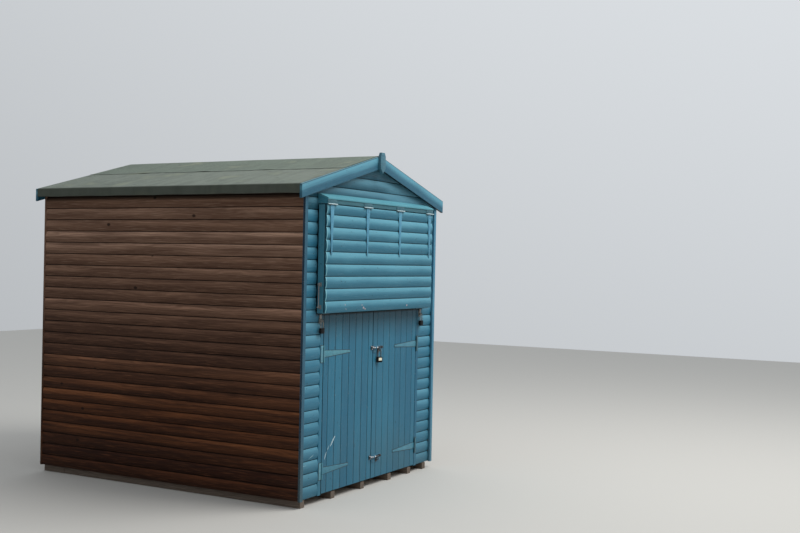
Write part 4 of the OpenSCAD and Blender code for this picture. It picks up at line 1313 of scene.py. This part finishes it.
plate_mid = bolt_up - bolt_h / 2
lug_low, lug_w = bolt_up + 0.001 - bolt_h, 0.024
lug_h = 0.002 - lug_low
keeper_x = -gap / 2 - 0.001 - 2 * guide_w
keeper_mid = keeper_x + guide_w
bolt_parts, keeper_parts = [], []
for z in (upper_bolt, lower_bolt):
    back = iron_plate(rounded(bolt_l, bolt_h, corner_r, plate_mid))
    spots = [(x, -iron_t, plate_mid + h) for x in (-0.056, 0.056) for h in (-0.021, 0.021)]
    screws = heads(0.0042, 0.0016, spots, -Y, 10)
    near_guide = guide(guide_w - bolt_l / 2, guide_w).moved(plate_face)
    far_guide = guide(bolt_l / 2 - 2 * guide_w, guide_w).of_kind(1)
    bolt_end = bolt_l / 2 - guide_w / 2
    bolt = bar(-bolt_l / 2, bolt_end, 6, bolt_r, -bolt_out, sides=16, ease=0.0015)
    scuffed = np.mean(bolt.points[bolt.quads][..., 0], axis=1) < -0.012
    bolt = bolt._replace(kinds=np.where(scuffed, 0, 1))
    under_rod = staple().moved(-staple_drop * Z).of_kind(1)
    lug = slotted(rounded(lug_w, lug_h, corner_r, lug_low + lug_h / 2), -staple_drop)
    collar = bar(-0.013, 0.013, 2, bolt_r + 0.0012, -iron_t - bolt_out, sides=16)
    parts = placed((back, screws, near_guide), (0, 0, 0), kind=2)
    parts += placed((far_guide, bolt, under_rod), plate_face)
    parts += placed((lug, collar), (0, 0, 0), kind=1)
    bolt_parts += placed(parts, (bolt_x, front_y, z))

    keeper = iron_plate(rounded(2 * guide_w, 2 * bolt_up, corner_r) + (keeper_mid, 0))
    arch = guide(keeper_x + guide_w / 2, guide_w).moved(plate_face)
    # The arch's upper half takes the bright plating, as a painted highlight, and its lower half the
    # dark steel, as painted shade.
    shaded_lower_half = np.mean(arch.points[arch.quads][..., 2], axis=1) < 0.002
    arch = arch._replace(kinds=shaded_lower_half.astype(int))
    spots = [(keeper_mid + d, -iron_t, e) for d, e in ((-0.009, 0.0115), (0.009, -0.0115))]
    parts = (keeper.of_kind(1), arch, heads(0.003, 0.0012, spots, -Y))
    keeper_parts += placed(parts, (0, front_y, z))
bolt_metals = [highlit_plating, dull_steel, bolt_paint]
joined("padbolts", bolt_parts, bolt_metals, "right_leaf", "dark_iron", "door_bolts")
keeper_metals = [highlit_plating, soot_and_shade_steel]
joined("padbolt_keepers", keeper_parts, keeper_metals, "left_leaf", "dark_iron", "bolt_keepers")


# Hasps and padlocks: a leaf under each lower corner of the hatch, a slotted strap that
# hangs from it over a staple on the jamb, and a black padlock. The doors' lock is brass.
def cast_metal(name, colour, worn, metallic, specular, rough):
    """Metal of a padlock: soft marks from handling, and worn edges."""
    metal = Finish(name, Metallic=metallic, Specular_IOR_Level=specular)
    marks = metal.noise(metal.where(), (260, 260, 260))
    rub = metal.total(marks, metal.product(metal.mark("edge"), 0.2))
    metal.colour = metal.mixed(metal.step(rub, 0.55, 0.8), colour, worn)
    return metal.done(metal.step(marks, 0.3, 0.7, rough, rough + 0.2), marks, 0.0002)


lock_black = cast_metal("lock_black", "0b0c0e", "2b2c2e", 0.0, 0.15, 0.5)
lock_steel = bare_iron("lock_steel", "777976", "26272a", 0.02, 0.2)
lock_brass = cast_metal("lock_brass", "ede7cb", "fbf8ea", 0.1, 0.5, 0.4)
lock_w, lock_h, lock_t = 0.044, 0.038, 0.018
shackle_r, shackle_len = 0.0035, 0.050
bow_r = lock_w / 2 - 2 * shackle_r
leg = shackle_len - bow_r
sag = staple_bend - staple_r - shackle_r - 0.0003


def pillow(width, height, thickness, radius, z, ease=0.0025):
    """A rounded block centred on y = 0: its outline is drawn in towards both faces along a
    quarter of a circle."""
    a = np.radians([90, 60, 30, 0])
    near = np.array([(-thickness / 2 + ease * (1 - np.sin(t)), ease * (1 - np.cos(t))) for t in a])
    rings = []
    for y, draw in [*near, *(near * (-1, 1))[::-1]]:
        corner = max(radius - draw, 0.0008)
        rings.append(at_depth(rounded(width - 2 * draw, height - 2 * draw, corner, z), y))
    return skin(np.array(rings), edge=np.array([0, 0.5, 1, 0.5, 0.5, 1, 0.5, 0])[:, None])


def padlock(brass_face):
    """A padlock on a staple, its shackle through the staple's bend, whose middle is at the
    origin. Its kinds: 0 the black body, 1 the shackle, 2 a brass plate on the front."""
    top = -sag - bow_r - leg
    bow = arc((0, -sag - bow_r), bow_r, 180, 0, 15)
    left, right = ([(x, top - 0.004), (x, top + leg / 2)] for x in (-bow_r, bow_r))
    shackle = rod([(x, 0, z) for x, z in (*left, *bow, *right[::-1])], shackle_r, Y, 14)
    if brass_face:
        body = pillow(lock_w + 0.005, lock_h + 0.004, lock_t, corner_r, top - lock_h / 2 - 0.002)
        front = pillow(lock_w - 0.012, lock_h - 0.018, 0.004, 0.002, 0, 0.001)
        cover_plate = front.moved((0.002, -lock_t / 2, top - lock_h / 2 + 0.001)).of_kind(2)
    else:
        body = pillow(lock_w, lock_h, lock_t, corner_r, top - lock_h / 2)
        cover_plate = pillow(lock_w + 0.0012, 0.0085, lock_t + 0.0012, 0.0035, top - 0.0046, 0.0022)
    key = barrel(0.0052, 0, 0.0012).moved((0, 0, top - lock_h - 0.0009))
    return [body, shackle.of_kind(1), cover_plate, key.of_kind(1)]


angle = np.radians(18)
turned = [(np.cos(angle), -np.sin(angle), 0), (np.sin(angle), np.cos(angle), 0), Z]
lock_y = front_y - iron_t - staple_leg
lock = placed(padlock(True), (bolt_x, lock_y, upper_bolt - staple_drop), turned)
materials = [lock_black, lock_steel, lock_brass]
joined("brass_padlock", lock, materials, "right_leaf", "padlock_brass", "door_padlock")

low, high = corners("hatch_hasps")
hasp_w, hasp_len, hasp_x, staple_z = 0.032, 0.062, jamb_x + cross_w + 0.016, 1.264
hasp_mid = door_top - hasp_len / 2 - staple_z
strap_parts, leaf_parts, lock_parts = [], [], []
for s in (-1, 1):
    x, y = s * hasp_x, (low[1] + high[1]) / 2
    leaf = iron_plate(rounded(2 * hasp_w, high[1] - low[1], corner_r), X, Y, -Z)
    spots = [(x + d, y + e, low[2]) for d in (-0.022, 0.022) for e in (-0.014, 0.014)]
    leaf_parts += [leaf.moved((x, y, high[2])), heads(0.0035, 0.001, spots, -Z)]
    base = iron_plate(rounded(hasp_w, 2 * staple_drop, corner_r))
    strap = slotted(rounded(hasp_w - corner_r, hasp_len, corner_r, hasp_mid), 0.0)
    roll_place = (0, -0.0045, hasp_mid + hasp_len / 2 - 0.0035)
    roll = barrel(0.003, -0.013, 0.013).moved(roll_place, [Z, Y, X])
    screws = heads(0.003, 0.001, [(d, -iron_t, -0.016) for d in (-0.0125, 0.0125)], -Y)
    hung = (base, strap, roll, staple().moved(plate_face), screws)
    strap_parts += placed(hung, (x, front_y, staple_z))
    lock_parts += placed(padlock(False), (x, lock_y, staple_z))
joined("hatch_hasp_leaves", leaf_parts, [dull_steel], "hatch", "dark_iron", "hatch_hasps")
joined("hasp_straps_and_staples", strap_parts, [old_steel], "hut", "dark_iron", "hasp_straps")
metals = [lock_black, old_steel]
joined("black_padlocks", lock_parts, metals, "hut", "dark_iron", "hatch_padlocks")


# Scratches and chips: pale scrapes through the paint low on the left leaf and on the boards
# beside it, and chips on the hatch, each a thin ribbon of primer and bare wood.
def flecked(name, stretch, spread, *colours):
    """Paint worn through: flecks of two colours."""
    bared = Finish(name)
    flecks = bared.noise(bared.where(), stretch, 2.0)
    bared.colour = bared.mixed(bared.step(flecks, 0.5 - spread, 0.5 + spread), *colours)
    return bared.done(bared.step(flecks, 0.3, 0.7, 0.6, 0.8), flecks, 0.0002)


def scrape(points, width, y):
    """A ribbon 0.3 mm proud along a path (x, z), as wide as width * sin(pi * s) ** 0.6."""
    corner = np.asarray(points, float)
    s = np.linspace(0, 1, 19)
    middle = np.column_stack([np.interp(s, np.linspace(0, 1, len(corner)), v) for v in corner.T])
    half = 0.5 * width * (np.sin(np.pi * s) ** 0.6 + 0.05) * (1 + 0.35 * np.sin(31 * s))
    side = left_of(directions(middle)) * half[:, None]
    sides = ((1, 0.0002), (-1, 0.0002), (-0.8, -0.0003), (0.8, -0.0003))
    return skin(np.stack([at_depth(middle + share * side, y + d) for share, d in sides], 1))


def on_log(base, height, y, x0, x1, z0, z1, width):
    """A scrape on one loglap board: it follows the arc of the board's face, whose crown is at
    the depth y."""
    mark = scrape([(x0, z0), (x1, z1)], width, 0.0)
    mark.points[:, 1] += behind_crown((mark.points[:, 2] - base) % height, height)
    return mark.moved((0, y, 0))


scraped = flecked("scraped_wood", (500, 500, 160), 0.15, "7d9fab", "c9d8db")
faint = flecked("faint_scuff", (400, 400, 300), 0.1, "5f8fa1", "9dbbc2")
primer = flecked("bared_primer", (260, 260, 260), 0.1, "8d7f86", "c3b4b9")
leaf_scrapes = [
    scrape([(-0.565, 0.373), (-0.538, 0.404), (-0.503, 0.442)], 0.012, front_y),
    scrape([(-0.603, 0.351), (-0.578, 0.382)], 0.005, front_y),
    scrape([(-0.639, 0.290), (-0.627, 0.316), (-0.613, 0.342)], 0.009, front_y),
]
joined("leaf_scrapes", leaf_scrapes, [scraped], "left_leaf", "blue_paint")
panel_scuffs = [
    on_log(base_z, cover, front_y, -0.880, -0.846, 0.278, 0.294, 0.009),
    on_log(base_z, cover, front_y, -0.866, -0.828, 0.268, 0.299, 0.006),
    on_log(base_z, cover, front_y, -0.832, -0.792, 0.320, 0.339, 0.005),
    on_log(base_z, cover, front_y, -0.806, -0.776, 0.326, 0.346, 0.004),
    on_log(base_z, cover, front_y, -0.905, -0.884, 0.274, 0.286, 0.005),
]
joined("panel_scuffs", panel_scuffs, [faint], "hut", "blue_paint")
hatch_marks = [
    on_log(hatch_low[2], hatch_cover, hatch_y - board_t, *ends)
    for ends in (
        (-0.286, -0.266, 1.347, 1.341, 0.016),
        (-0.262, -0.240, 1.338, 1.332, 0.009),
        (-0.300, -0.296, 1.372, 1.356, 0.006),
        (0.364, 0.384, 1.347, 1.346, 0.012),
        (-0.535, -0.522, 1.368, 1.372, 0.006),
        (-0.520, -0.510, 1.341, 1.340, 0.006),
    )
]
joined("hatch_chips", hatch_marks, [primer], "hatch", "blue_paint")


# Studio: a plain pale floor, a large soft light above the front, and a pale sky that is
# brightest above and to the right.
floor_mesh = bpy.data.meshes.new("studio_floor")
size = 14.0
floor_corners = [(-size, -size, 0), (size, -size, 0), (size, size, 0), (-size, size, 0)]
floor_mesh.from_pydata(floor_corners, [], [(0, 1, 2, 3)])
studio_floor = put("studio_floor", floor_mesh)
floor_paint = Finish("studio_floor", Base_Color=tint("bdbbb6"), Roughness=0.9)
floor_mesh.materials.append(floor_paint.material)

sky = bpy.data.worlds.new("pale_sky")
sky.use_nodes = True
nodes, links = sky.node_tree.nodes, sky.node_tree.links
backdrop = nodes["Background"]
backdrop.inputs["Color"].default_value = (0.92, 0.96, 1.0, 1)
facing = nodes.new("ShaderNodeVectorMath")
facing.operation = "DOT_PRODUCT"
facing.inputs[1].default_value = (0.50, -0.14, 0.80)
brightness = nodes.new("ShaderNodeMapRange")
for socket, value in ((1, -0.85), (2, 1.0), (3, 0.0), (4, 0.95)):
    brightness.inputs[socket].default_value = value
direction = nodes.new("ShaderNodeTexCoord")
links.new(direction.outputs["Generated"], facing.inputs[0])
links.new(facing.outputs["Value"], brightness.inputs[0])
links.new(brightness.outputs[0], backdrop.inputs["Strength"])
bpy.context.scene.world = sky


def stood(name, data, right, up, back, place):
    """A lamp or a camera at a place, with its own x, y and z along right, up and back."""
    thing = put(name, data)
    axes = np.column_stack([right, up, back, place])
    thing.matrix_world = Matrix(np.vstack([axes, (0, 0, 0, 1)]).tolist())
    return thing


lamp = bpy.data.lights.new("key", "AREA")
lamp.size, lamp.energy, lamp.color = 4.5, 500, (1, 0.985, 0.96)
lamp_place, aim = np.array((1.7, -5.0, 7.6)), np.array((0, -1, 1.2))
back = unit(lamp_place - aim)
right = unit(np.cross(Z, back))
stood("key", lamp, right, np.cross(back, right), back, lamp_place)


# Camera: at eye height to the left of the front, as for the photo, but turned a little
# further left, so that the whole hut is in view.
yaw, dip, lean = np.radians((29.05, -0.208, 1.151))
forward = np.array((np.cos(dip) * np.cos(yaw), np.cos(dip) * np.sin(yaw), np.sin(dip)))
level = np.array((np.sin(yaw), -np.cos(yaw), 0))
upright_axis = np.cross(level, forward)
right = np.cos(lean) * level + np.sin(lean) * upright_axis
above = np.cos(lean) * upright_axis - np.sin(lean) * level
lens = bpy.data.cameras.new("camera")
lens.lens, lens.sensor_width = 49.8, 36.0
camera = stood("camera", lens, right, above, -forward, (-7.139, -5.358, 1.676))
bpy.context.scene.camera = camera

bpy.context.scene.view_settings.view_transform = "Standard"
